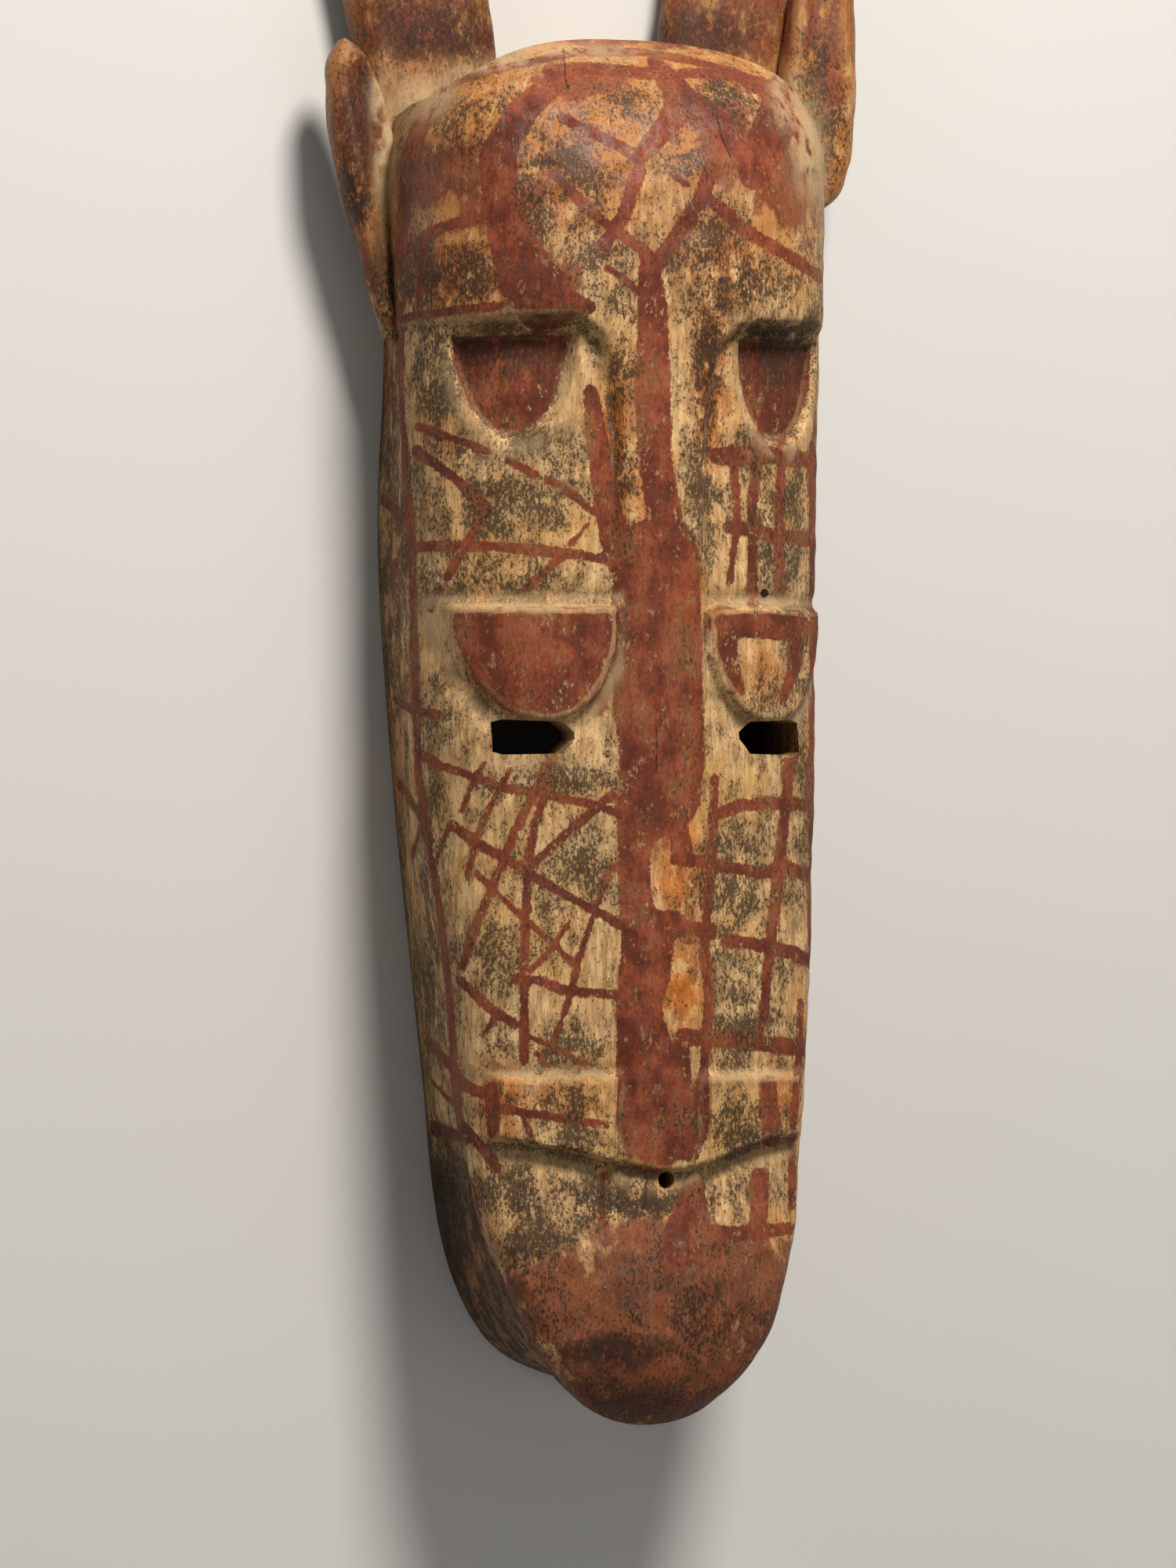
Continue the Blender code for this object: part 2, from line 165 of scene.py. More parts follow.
# The studio
PHOTO_ROWS = 2000
VIEW_MIDDLE = (-0.0195, 0.227)
CAMERA_DISTANCE = 2.2
SENSOR = 36  # in millimetres
LIT_PLACE = (0, -0.05, 0.05)
LIGHTS = {  # place, size, power and colour
    "key": ((0.12, 1.2, 1.28), 0.5, 40, (1, 0.95, 0.88)),
    "fill": ((0.5, -0.8, 1.8), 1.4, 4, (1, 0.98, 0.95)),
    "rim": ((-1.4, 0.6, 0.9), 0.5, 1.6, (1, 1, 1)),
}
WORLD_COLOUR, WORLD_STRENGTH = (1, 0.98, 0.96, 1), 0.18
FLOOR_COLOUR = (0.62, 0.61, 0.59, 1)

# Painted strokes in the photograph's pixels: width, then the points along each
STROKES = {
    "crown line": (10, (536, 137), (569, 108), (663, 87), (734, 66), (819, 61), (899, 75), (984, 99)),
    "crown line below": (16, (701, 94), (758, 90), (828, 94)),
    "crown line right": (14, (871, 92), (935, 90), (990, 118), (1022, 160), (1040, 215)),
    "left hoop": (
        44, (716, 104, 26), (668, 150, 36), (636, 205, 46), (640, 262, 44), (656, 320, 56), (676, 366, 76),
        (696, 388, 80),
    ),
    "left hoop foot": (26, (700, 384), (752, 400, 16)),
    "brow band": (13, (720, 160), (770, 184), (814, 208)),
    "crown to brow": (26, (833, 75, 16), (862, 112, 34), (866, 140, 36), (846, 172, 26), (814, 208, 18)),
    "crown to right": (30, (852, 108, 24), (918, 160, 40), (970, 212, 30)),
    "right upright": (40, (1000, 96, 30), (988, 160, 54), (962, 222, 40)),
    "right slant": (18, (913, 203), (894, 255), (866, 302), (833, 349)),
    "right slant low": (15, (899, 255), (946, 293), (1008, 326), (1046, 345)),
    "middle slant": (16, (814, 226), (795, 283), (770, 320)),
    "short dash": (8, (857, 227), (875, 241)),
    "long slant": (11, (706, 231), (758, 283), (833, 335)),
    "low slant": (8, (776, 349), (814, 378)),
    "temple line": (14, (498, 326), (569, 293), (625, 283)),
    "temple edge": (
        18, (592, 102, 10), (560, 118, 16), (540, 148, 22), (527, 191, 24), (517, 252, 20), (512, 300, 14),
        (508, 345, 10),
    ),
    "temple upright": (9, (540, 321), (536, 378)),
    "brow edge left": (10, (492, 404), (560, 402), (640, 398)),
    "middle band": (
        36, (822, 322, 8), (828, 352, 26), (832, 400, 36), (832, 505, 43), (836, 600, 40), (846, 660, 44),
        (850, 690, 60), (838, 716, 104), (836, 760, 112), (838, 830, 110), (840, 900, 112), (844, 960, 108),
        (842, 1010, 104), (824, 1040, 66), (812, 1062, 44),
    ),
    "nose band left": (24, (754, 504, 18), (762, 560, 24), (770, 620, 29), (781, 680, 36), (800, 722, 46)),
    "nose left low": (
        40, (812, 1020, 50), (808, 1100, 36), (812, 1165, 40), (826, 1190, 68), (822, 1240, 64),
        (812, 1290, 52), (826, 1380, 80),
    ),
    "nose end": (66, (818, 1290, 50), (826, 1360, 76), (830, 1420, 88), (832, 1468, 60)),
    "nose end right": (22, (868, 1330), (872, 1400), (868, 1465)),
    "nose fork": (26, (862, 1040), (870, 1085)),
    "corner left": (9, (509, 385), (511, 513), (518, 600), (525, 720), (529, 850), (533, 985)),
    "corner left low": (8, (533, 985), (545, 1060), (560, 1150), (574, 1270), (580, 1384), (590, 1464)),
    "upper cheek one": (9, (535, 544), (580, 562), (623, 579)),
    "upper cheek two": (8, (648, 590), (684, 610)),
    "upper cheek three": (9, (700, 615), (735, 638), (768, 664)),
    "upper cheek long": (12, (531, 574), (580, 611), (623, 651)),
    "upper cheek fall": (9, (623, 648), (600, 690), (572, 737)),
    "upper cheek foot": (7, (562, 751), (551, 777)),
    "upper cheek level": (11, (526, 697), (620, 698), (700, 706), (774, 715)),
    "by the nose one": (5, (751, 671), (728, 697)),
    "by the nose two": (8, (715, 715), (664, 760)),
    "side one": (12, (485, 630), (500, 645), (518, 664)),
    "side two": (7, (503, 712), (495, 743)),
    "side three": (9, (500, 890), (524, 905), (560, 912)),
    "side four": (9, (505, 1000), (520, 1020), (538, 1045)),
    "under left slit": (
        9, (530, 957), (562, 976), (601, 989), (643, 1005), (675, 1009), (758, 1026), (790, 1037),
    ),
    "rung one": (5, (619, 974), (610, 987), (601, 1007), (591, 1033)),
    "rung one low": (5, (575, 1050), (560, 1089), (554, 1109)),
    "rung two": (6, (651, 983), (632, 1018), (619, 1044), (610, 1070), (597, 1115)),
    "rung three": (9, (705, 963), (688, 1002), (660, 1054), (630, 1128), (610, 1174), (591, 1232)),
    "rung four": (
        10, (703, 994), (684, 1050), (673, 1111), (671, 1191), (669, 1234), (670, 1292), (670, 1349),
    ),
    "slant under slit": (10, (792, 1005), (768, 1024), (718, 1067), (682, 1100)),
    "long crossing": (11, (578, 1052), (606, 1072), (671, 1109), (708, 1132), (760, 1161), (790, 1178)),
    "short crossing": (6, (610, 1113), (640, 1143), (682, 1180), (734, 1228)),
    "long fall": (7, (779, 1104), (758, 1163), (738, 1224), (725, 1276), (704, 1333)),
    "thin fall": (5, (727, 1174), (710, 1200), (682, 1232), (673, 1239)),
    "edge fall": (6, (515, 1007), (536, 1041), (552, 1072)),
    "edge fall low": (5, (536, 1054), (523, 1093)),
    "low crossing": (10, (587, 1248), (629, 1285), (658, 1303)),
    "low tick": (6, (635, 1292), (618, 1317)),
    "low level": (11, (656, 1246), (688, 1248), (720, 1260), (759, 1264), (792, 1268)),
    "low thin": (5, (674, 1317), (700, 1329), (752, 1356)),
    "low short": (6, (686, 1340), (696, 1356)),
    "jaw line": (12, (544, 1335), (576, 1361), (587, 1379), (615, 1391)),
    "jaw thin": (5, (550, 1388), (578, 1409)),
    "jaw corner": (18, (548, 1450), (592, 1452)),
    "jaw to lip": (13, (592, 1436), (615, 1459), (635, 1485)),
    "left pad": (10, (629, 1407), (665, 1413), (707, 1420), (773, 1430)),
    "left pad tick": (7, (668, 1420), (679, 1443)),
    "left pad end": (14, (628, 1385), (630, 1440)),
    "chin fall left": (6, (768, 1496), (768, 1560)),
    "dot": (7, (774, 960), (775, 963)),
    "right level one": (22, (916, 582), (980, 578), (1046, 582)),
    "right level two": (16, (931, 672), (985, 680), (1043, 684)),
    "right fall one": (9, (934, 572), (941, 666), (931, 741)),
    "right fall two": (12, (971, 549), (960, 640), (960, 743), (961, 769)),
    "right fall three": (11, (1001, 533), (995, 640), (997, 762)),
    "right edge": (8, (1040, 560), (1041, 700), (1040, 900), (1038, 1235)),
    "right edge low": (9, (1023, 1280), (1021, 1361), (1014, 1430), (1012, 1544)),
    "right ring one": (14, (920, 1036), (942, 1027), (978, 1024), (1044, 1027)),
    "right ring two": (14, (862, 1094), (896, 1099), (930, 1107), (978, 1114), (1002, 1104), (1039, 1121)),
    "right ring three": (24, (801, 1177), (857, 1172), (876, 1189), (905, 1187)),
    "right ring three end": (16, (927, 1199), (961, 1204), (1014, 1216), (1034, 1228)),
    "right ring four": (20, (871, 1320), (930, 1325), (1028, 1340)),
    "right upright one": (11, (911, 993), (905, 1126), (898, 1199), (904, 1270), (897, 1365)),
    "right upright one low": (23, (897, 1372, 16), (893, 1400, 26), (886, 1440, 34), (880, 1466, 26)),
    "right upright two": (12, (1010, 961), (1005, 1017), (993, 1126), (980, 1235), (973, 1315)),
    "right upright two low": (20, (980, 1381), (984, 1455)),
    "right upright two foot": (12, (975, 1498), (973, 1560)),
    "right moon top": (34, (922, 796), (975, 797), (1018, 799)),
    "right moon left": (26, (924, 790, 34), (928, 840, 26), (942, 880, 12)),
    "right moon right": (18, (1018, 790, 26), (1015, 850, 16), (1000, 890, 8)),
    "chin level": (20, (860, 1572, 30), (930, 1574, 22), (1008, 1570, 14)),
    "chin upright": (34, (884, 1512, 30), (880, 1545, 44), (870, 1580, 60)),
    "chin under pad": (16, (968, 1500), (966, 1556)),
    "chin edge": (9, (598, 1500), (612, 1572), (643, 1639), (680, 1713), (735, 1790)),
}
# Thin red washes, soot, orange wood, and pale dust with painted highlights, as (column, row, half-width,
# half-height, amount)
WASHES = [
    # Horns and ears
    (458, 160, 40, 110, 1.2), (470, 300, 18, 90, 0.9), (540, 20, 90, 60, 0.95), (905, 14, 90, 46, 0.95),
    (1062, 60, 34, 90, 0.8),
    # Forehead
    (556, 226, 84, 54, 1.0), (690, 365, 62, 46, 0.9), (745, 112, 90, 34, 0.85), (600, 240, 40, 90, 0.75),
    (672, 250, 46, 120, 0.5), (560, 150, 40, 40, 0.5), (790, 250, 90, 80, 0.45), (960, 100, 60, 30, 0.6),
    (1000, 230, 50, 80, 0.95), (870, 250, 60, 80, 0.45), (540, 330, 30, 40, 0.5), (930, 190, 60, 80, 0.75),
    # Mouth and chin
    (560, 1400, 40, 60, 0.4), (815, 1578, 90, 50, 0.85), (700, 1600, 70, 50, 0.5),
    (830, 1650, 210, 90, 1.15), (830, 1745, 150, 90, 1.15), (640, 1640, 50, 60, 0.6),
    (960, 1640, 70, 90, 0.95),
    # Nose
    (760, 880, 26, 50, 0.8), (842, 860, 62, 190, 0.9), (815, 1250, 34, 200, 0.7), (835, 1420, 60, 60, 0.9),
    (860, 1060, 40, 50, 0.7), (890, 1200, 24, 160, 0.4), (800, 560, 40, 150, 0.25),
    # Cheeks
    (560, 1010, 40, 60, 0.3),
]
SOOT = [
    # Horns and ears
    (590, 84, 90, 30, 0.7), (520, 16, 60, 50, 0.9), (890, 16, 80, 40, 0.55), (455, 200, 34, 170, 0.9),
    (1060, 90, 34, 120, 0.8), (580, 36, 60, 36, 0.9),
    # Forehead
    (570, 345, 80, 50, 0.9), (520, 390, 40, 60, 0.7), (735, 200, 60, 90, 0.75), (780, 140, 70, 36, 0.75),
    (684, 235, 44, 100, 0.75), (760, 330, 60, 60, 0.6), (905, 300, 50, 46, 0.9), (980, 360, 60, 36, 0.8),
    (935, 125, 60, 50, 0.7), (590, 170, 70, 50, 0.8), (880, 190, 50, 60, 0.6), (870, 340, 50, 40, 0.6),
    (700, 300, 60, 50, 0.4), (518, 250, 24, 110, 0.6), (534, 128, 40, 26, 0.5),
    # Mouth and chin
    (830, 1660, 190, 120, 0.8), (690, 1570, 120, 50, 0.8), (950, 1430, 60, 46, 0.85),
    (700, 1425, 100, 44, 0.75), (820, 1525, 150, 34, 0.9),
    (640, 1520, 60, 60, 0.7), (690, 1650, 50, 60, 0.6), (790, 1750, 70, 34, 1.0), (930, 1700, 60, 40, 0.6),
    (770, 1640, 30, 60, 0.5), (570, 1560, 34, 160, 0.8),
    # Nose
    (900, 430, 26, 110, 1.0), (795, 490, 22, 90, 0.8), (800, 390, 24, 60, 0.7), (800, 620, 20, 120, 0.7),
    (870, 1430, 36, 50, 0.6), (880, 930, 24, 90, 0.4),
    # Eyes, cheeks and sides
    (560, 480, 40, 90, 0.7), (640, 575, 90, 34, 0.85), (640, 640, 110, 56, 0.7), (620, 740, 110, 36, 0.75),
    (1030, 700, 40, 500, 0.6), (900, 620, 30, 120, 0.7), (500, 740, 36, 360, 0.75),
    (570, 900, 50, 50, 0.55), (970, 640, 70, 110, 0.75), (990, 880, 40, 40, 0.5), (690, 1000, 100, 40, 0.6),
    (720, 1110, 80, 80, 0.6), (650, 1210, 70, 60, 0.5), (700, 1330, 90, 34, 0.6), (950, 1150, 70, 130, 0.7),
    (950, 1310, 60, 60, 0.8), (990, 425, 50, 24, 0.8), (550, 1200, 34, 220, 0.75),
]
ORANGE = [
    # Horns and ears
    (440, 250, 26, 130, 1.0), (430, 110, 14, 70, 0.7), (520, 30, 70, 50, 0.8), (600, 60, 50, 20, 0.7),
    (1080, 120, 14, 120, 0.9),
    # Forehead
    (580, 350, 110, 60, 1.0), (735, 190, 90, 100, 0.9), (590, 150, 60, 50, 0.7), (900, 180, 80, 60, 0.6),
    (920, 350, 60, 50, 0.8),
    # Mouth and chin
    (640, 1400, 34, 50, 1.0), (720, 1400, 60, 30, 0.5), (1000, 1400, 24, 40, 0.8), (600, 1620, 30, 90, 0.4),
    # Nose
    (905, 480, 24, 120, 1.0), (785, 570, 24, 130, 1.0), (815, 650, 20, 90, 0.7), (868, 1120, 36, 80, 1.0),
    (868, 1260, 34, 70, 1.0), (880, 760, 24, 60, 0.7),
    # Eyes, cheeks and sides
    (972, 860, 34, 40, 0.6), (492, 480, 14, 60, 0.8), (500, 900, 14, 200, 0.4), (620, 860, 50, 40, 0.5),
    (560, 560, 50, 26, 0.5),
]
# Soft dark patches: painted shadow in the upper parts of the eye sockets and beside the nose's right flank,
# and darker patches on the horns, ears, forehead, sides and chin
DARK_PATCHES_AND_SHADOW = [
    # Horns and ears
    (452, 170, 28, 130, 1.0), (480, 340, 10, 60, 0.8), (550, 20, 110, 56, 1.0), (890, 10, 90, 40, 0.9),
    (1050, 60, 26, 90, 0.6),
    # Forehead
    (560, 370, 90, 60, 0.6), (690, 395, 70, 26, 0.5), (930, 370, 50, 50, 0.7), (640, 180, 50, 40, 0.4),
    (930, 130, 60, 50, 0.5),
    # Mouth and chin
    (566, 1570, 40, 170, 0.9), (780, 1715, 90, 26, 1.1), (900, 1640, 40, 50, 0.5), (650, 1660, 60, 90, 0.6),
    (960, 1700, 60, 60, 0.6), (830, 1790, 130, 40, 0.9), (790, 1530, 140, 24, 0.7),
    (950, 1440, 60, 40, 0.5),
    # Nose
    # Painted shadow beside the nose's right flank
    (900, 450, 20, 110, 0.8),
    # Eyes, cheeks and sides
    # The first two are painted shadow in the eye sockets' upper parts
    (640, 452, 90, 46, 1.0), (990, 450, 50, 46, 1.0), (640, 520, 50, 26, 0.4), (486, 520, 20, 100, 0.7),
    (650, 900, 60, 30, 0.4),
]
# Pale dust, with painted highlights on the lit upper ledges of brow, half-moons and mouth pads and on the
# left socket's lower rim
DUST_AND_HIGHLIGHTS = [
    # Horns and ears
    (489, 185, 14, 115, 1.2), (610, 80, 70, 16, 1.0), (482, 122, 12, 44, 1.0),
    # Forehead
    (538, 118, 44, 40, 1.1), (1004, 110, 20, 50, 0.9), (700, 62, 120, 12, 0.8), (620, 411, 110, 5, 0.6),
    (1036, 170, 26, 80, 1.1),
    # Mouth and chin
    (706, 1366, 90, 8, 1.0), (960, 1372, 60, 8, 1.0),
    # Nose
    (770, 470, 8, 50, 0.5),
    # Eyes and cheeks
    (670, 776, 112, 7, 1.0), (965, 768, 66, 7, 1.0), (724, 512, 10, 44, 0.9),
    (680, 925, 90, 8, 0.7), (680, 972, 70, 8, 0.7),
]
# Shallow cracks that follow the grain: points in the photograph's pixels
CRACKS = {
    "crown left": (0, (719, 62), (720, 88), (724, 118)),
    "crown right": (0, (914, 150), (920, 175), (931, 202)),
    "nose": (0, (836, 925), (837, 985)),
    "pad": (0, (826, 1500), (820, 1545)),
}
NAIL_HOLE = (976, 756)
SPREAD = 1.6  # how far in pixels the paint runs past the points' widths
NOWHERE = 60  # further in pixels than any stroke's edge reaches
# Colours as the photograph shows them, from 0 to 255
COLOURS = {
    "wood in the grain": (172, 130, 82), "wood": (218, 181, 130), "warm wood": (198, 146, 82),
    "orange wood": (186, 98, 22), "handled wood": (168, 104, 46), "deep red": (90, 30, 15),
    "red": (132, 50, 26), "faded red": (140, 64, 38), "dark red": (58, 22, 12), "soot veil": (98, 74, 42),
    "soot veil on the forehead": (104, 58, 22), "soot speck": (32, 21, 12), "grain streak": (70, 48, 26),
    "dark_patch_and_shadow": (44, 25, 14), "dust_and_highlight": (186, 158, 118), "side wall": (42, 31, 21), "back": (74, 54, 36),
    "crack": (28, 18, 12),
}


def profile(at, stations, along=1.0, across=1.0):
    """A smooth curve through (place, value) stations."""
    places, values = np.array(stations).T
    places, values = places * along, values * across
    slopes = np.gradient(values, places)
    i = np.clip(np.searchsorted(places, at) - 1, 0, len(places) - 2)
    span = places[i + 1] - places[i]
    u = np.clip((at - places[i]) / span, 0, 1)
    rest = 1 - u
    return (
        rest**2 * (1 + 2 * u) * values[i]
        + u**2 * (1 + 2 * rest) * values[i + 1]
        + u * rest * span * (rest * slopes[i] - u * slopes[i + 1])
    )


def soft(x):
    """0 below 0, 1 above 1 and a smooth rise between."""
    x = np.clip(x, 0, 1)
    return x * x * (3 - 2 * x)


def inside(distance, edge=CUT_EDGE):
    """1 where the distance into a shape is positive, 0 outside, over an edge of that width."""
    return soft(distance / edge + 0.5)


def bell(distance, middle, width):
    """1 at the middle and next to nothing two widths away from it."""
    return np.exp(-(((distance - middle) / width) ** 2))


def trace(distance, height, middle, width):
    """A ridge, or a groove if its height is negative, beside an edge."""
    return height * bell(distance, middle, width)


def section(s):
    """Height of the rounded cross-section at s, from -1 to 1 across it."""
    return np.clip(1 - np.abs(s) ** SECTION, 0, 1) ** (1 / SECTION)


def half_moon(x, y, top, width, height):
    """Distance into a half-moon with a flat upper side."""
    rim = 1 - np.hypot(x / (width / 2), (y - top) / height)
    return np.minimum(top - y, rim * min(width / 2, height))


def lip_line(x):
    """Height of the lower edge of the mouth, which dips in the middle."""
    return LIP_MIDDLE + (LIP_SIDE - LIP_MIDDLE) * soft(np.abs(x) / PAD_OUTER) ** 0.8


def waver(x, y, seed, size):
    """A slow hand-cut unevenness between -1 and 1, the same each run."""
    total = 0
    for k in range(3):
        turn = seed * 1.7 + k * 2.1
        step = 2 * math.pi / (size / (1 + 0.8 * k))
        total = total + np.sin(step * (x * math.cos(turn) + y * math.sin(turn)) + seed * 3.1 + k) / (1 + k)
    return total / 1.8


def relief(x, y):
    """How far the carving stands out of the plain face at a place on it."""
    uneven = EDGE_WAVER * waver(x, y, 1, 0.060)
    side = np.abs(x + uneven)
    y = y + RISE_WAVER * waver(x, y, 2, 0.050)
    # The eye field is cut back between brow and nose, and runs out towards the cheeks.
    below = BROW_Y - y
    nose_side = side - BROW_INNER * (1 - 0.30 * soft(below / (0.085 * LENGTH)))
    corner = BROW_CORNER
    field = corner - np.hypot(np.minimum(nose_side - corner, 0), np.minimum(below - corner, 0))
    edge = CUT_EDGE * (1.4 + 5.6 * soft((below - 0.08 * LENGTH) / (0.20 * LENGTH)))
    depth = BROW_RISE * (1 - 0.55 * soft(below / (0.35 * LENGTH)))
    at_side = soft((0.99 * HALF - side) / (0.22 * HALF))
    brow = -depth * inside(field, edge) * (0.3 + 0.7 * at_side)
    swell = trace(y - BROW_Y, *BROW_SWELL) * inside(side - 0.02, 0.012) * at_side
    socket = half_moon(side - EYE_X, y, EYE_Y, EYE_WIDTH, EYE_HEIGHT)
    bowl = SOCKET_BOWL * np.clip(socket / BOWL_REACH, 0, 1)
    eye = -EYE_SINK * inside(socket) + bowl * soft((EYE_Y - y) / (0.8 * EYE_HEIGHT))
    rim = trace(socket, *SOCKET_RIM) * soft((EYE_Y - y) / 0.012)
    moon = half_moon(side - CHEEK_X, y, CHEEK_Y, CHEEK_WIDTH, CHEEK_HEIGHT)
    cheek = (CHEEK_RISE * inside(moon) + trace(moon, *MOON_GROOVE)) * inside(side - 0.46 * NOSE_WIDTH)
    pad = np.minimum(np.minimum(side - PAD_INNER, PAD_OUTER - side), np.minimum(PAD_TOP - y, y - lip_line(x)))
    mouth = PAD_RISE * inside(pad) + trace(pad, *PAD_GROOVE) * inside(y - lip_line(x))
    drop = np.clip(lip_line(x) - y, 0, None)
    under = np.exp(-((drop / LIP_REACH) ** 1.5)) * inside(1.03 * PAD_OUTER - side, 5 * CUT_EDGE)
    lip = -LIP_UNDERCUT * inside(lip_line(x) - y) * under
    cheeks = CHEEK_HOLLOW * bell(y, 0.36 * LENGTH, 0.085) * bell(side, 0.034, 0.022)
    adze = ADZE_FINE * waver(x, y, 3, 0.013) + ADZE_COARSE * waver(x, y, 4, 0.027)
    return brow + swell + eye + rim + cheek + mouth + lip + cheeks + adze


def as_object(name, bm):
    """An object made of the bmesh, which is used up."""
    mesh = bpy.data.meshes.new(name)
    bm.to_mesh(mesh)
    bm.free()
    return bpy.data.objects.new(name, mesh)


def blank(name, columns, rows, rings):
    """A closed block over a grid: X and Y from -1 to 1 on its front, Z from 0 there to -1 at its back."""
    bm = bmesh.new()
    bmesh.ops.create_grid(bm, x_segments=columns, y_segments=rows, size=1)
    loop = [edge for edge in bm.edges if edge.is_boundary]
    for _ in range(rings):
        made = bmesh.ops.extrude_edge_only(bm, edges=loop)["geom"]
        loop = [item for item in made if isinstance(item, bmesh.types.BMEdge) and item.is_boundary]
        moved = {vertex for edge in loop for vertex in edge.verts}
        bmesh.ops.translate(bm, verts=list(moved), vec=(0, 0, -1 / rings))
    bmesh.ops.holes_fill(bm, edges=loop, sides=0)
    bmesh.ops.recalc_face_normals(bm, faces=bm.faces)
    return as_object(name, bm)


def coordinates(mesh):
    spots = np.empty(3 * len(mesh.vertices))
    mesh.vertices.foreach_get("co", spots)
    return spots.reshape(-1, 3)


def vertex_normals(mesh):
    normals = np.empty(3 * len(mesh.vertices))
    mesh.vertex_normals.foreach_get("vector", normals)
    return normals.reshape(-1, 3)


def store(mesh, name, values):
    """Keeps a value for each vertex, for the material to read."""
    layer = mesh.attributes.new(name, "FLOAT", "POINT")
    layer.data.foreach_set("value", values.astype(np.float32))


def move_vertices(obj, place):
    """Moves every vertex to where place() puts its coordinates."""
    moved = np.column_stack(place(*coordinates(obj.data).T))
    obj.data.vertices.foreach_set("co", moved.ravel())
    obj.data.update()


def shield_plan(s, t, outline, across, low, high, chin, crown):
    """X and Y of a place on an outline's inside, s from -1 to 1 across it and t from 0 to 1 up it."""
    y = low + (high - low) * t
    x = profile(y, outline, LENGTH, across) * s
    y = y - (low - chin) * (1 - s**2) * (1 - t) ** 3 + (crown - high) * (1 - np.abs(s) ** 2.6) * t**3
    return x, y


def face_place(a, b, c):
    """The outer skin: the carved front, the side walls and the flat back that the hollow opens."""
    s, t = np.sin(a * math.pi / 2), 0.5 + 0.5 * (1.08 * b - 0.08 * b**9)
    side_y = SIDE_LOW + (SIDE_HIGH - SIDE_LOW) * t
    x, y = shield_plan(s, t, FRONT_OUTLINE, HALF, SIDE_LOW, SIDE_HIGH, 0, LENGTH)
    edge = profile(side_y, EDGE_HEIGHT, LENGTH, DEPTH)
    rise = profile(y, MIDDLE_HEIGHT, LENGTH, DEPTH) - edge
    level = section(s)
    half_width = np.abs(profile(side_y, FRONT_OUTLINE, LENGTH, HALF))
    # The carving stands out along the section's normal, which is turned up towards the view.
    across = np.sign(s) * np.abs(s) ** (SECTION - 1) / half_width
    out = level ** (SECTION - 1) / np.maximum(rise, 0.1 * DEPTH)
    length = np.hypot(across, out)
    sideways = LEAN * across / length
    carved = relief(x, y)
    for _ in range(2):
        carved = relief(x + carved * sideways, y)
    front = (x + carved * sideways, y, edge + rise * level + carved * out / length)
    back = shield_plan(s, t, RIM_OUTLINE, RIM_WIDTH / 2, RIM_LOW, RIM_HIGH, RIM_CHIN, RIM_CROWN)
    step = 1 + 5 * soft((0.22 * LENGTH - side_y) / (0.06 * LENGTH))
    share = 1 - np.clip(1 + c, 0, 1) ** step
    bulge = EDGE_WAVER * waver(side_y, c * DEPTH, 5, 0.05) * np.sin(math.pi * -c)
    return (
        front[0] + (back[0] - front[0]) * share + bulge * np.sign(s),
        front[1] + (back[1] - front[1]) * share,
        front[2] * (1 + c),
    )


def hollow_place(a, b, c):
    """The hollow that takes the wearer's face, from the wall's inner side out past the rim."""
    s, t = np.sin(a * math.pi / 2), 0.5 + 0.5 * b
    side_y = HOLLOW_LOW + (HOLLOW_HIGH - HOLLOW_LOW) * t
    x, y = shield_plan(s, t, HOLLOW_OUTLINE, HALF, HOLLOW_LOW, HOLLOW_HIGH, HOLLOW_CHIN, HOLLOW_CROWN)
    edge = profile(side_y, EDGE_HEIGHT, LENGTH, DEPTH) - 1.2 * WALL
    edge = np.minimum(edge, 0.62 * DEPTH)
    ends = soft((y - HOLLOW_CHIN) / (0.16 * LENGTH)) * soft((HOLLOW_CROWN - y) / (0.10 * LENGTH))
    middle = (profile(y, MIDDLE_HEIGHT, LENGTH, DEPTH) - 1.6 * WALL - edge) * (0.25 + 0.75 * ends)
    gouges = GOUGES * waver(x, y, 6, 0.018) * (1 + c)
    z = edge + middle * section(s) + gouges
    back_x = x * (1 - BACK_TAPER * (x / HALF) ** 2)
    return x + (back_x - x) * -c, y, z * (1 + c) + 0.1 * DEPTH * c


def prong_place(base, lean, length, width, thickness, widths, curve, dish=0.0):
    """A flat carved prong along its own length: widths are (share of length, share of width) stations."""

    def place(a, b, c):
        up = 0.5 + 0.5 * np.sin(math.pi * np.clip(c, -0.5, 0.5))
        angle = np.arctan2(b, a)
        radius = np.hypot(a, b)
        share = profile(up, widths)
        x = radius * share * width / 2 * np.sign(a) * np.abs(np.cos(angle)) ** 0.75
        z = radius * (0.35 + 0.65 * share) * thickness / 2 * np.sign(b) * np.abs(np.sin(angle)) ** 0.8
        side = math.copysign(1, base[0])
        # The face of an ear is dished towards the head.
        inner = x * side / (width / 2) + 0.25
        ends = soft(up * 6) * soft(6 - up * 6)
        z = z - dish * soft((z / thickness - 0.1) / 0.3) * bell(inner, 0, 0.45) * ends
        along = length * up
        turned = lean + curve * up
        cut = 0.0004 * waver(x + z, along, 7 + side, 0.02)
        return (
            base[0] + side * (along * np.sin(turned)) + (x + cut) * np.cos(turned),
            base[1] + along * np.cos(turned) - side * x * np.sin(turned),
            base[2] + z,
        )

    return place


def prong(name, segments, rings, place):
    """A cylinder with rings along it, moved into a horn or an ear."""
    bm = bmesh.new()
    bmesh.ops.create_cone(bm, cap_ends=True, segments=segments, radius1=1, radius2=1, depth=1)
    upright = [edge for edge in bm.edges if abs(edge.verts[0].co.z - edge.verts[1].co.z) > 0.5]
    bmesh.ops.subdivide_edges(bm, edges=upright, cuts=rings, use_grid_fill=False)
    obj = as_object(name, bm)
    move_vertices(obj, place)
    # place() swaps two axes, which turns the faces inwards.
    obj.data.flip_normals()
    return obj


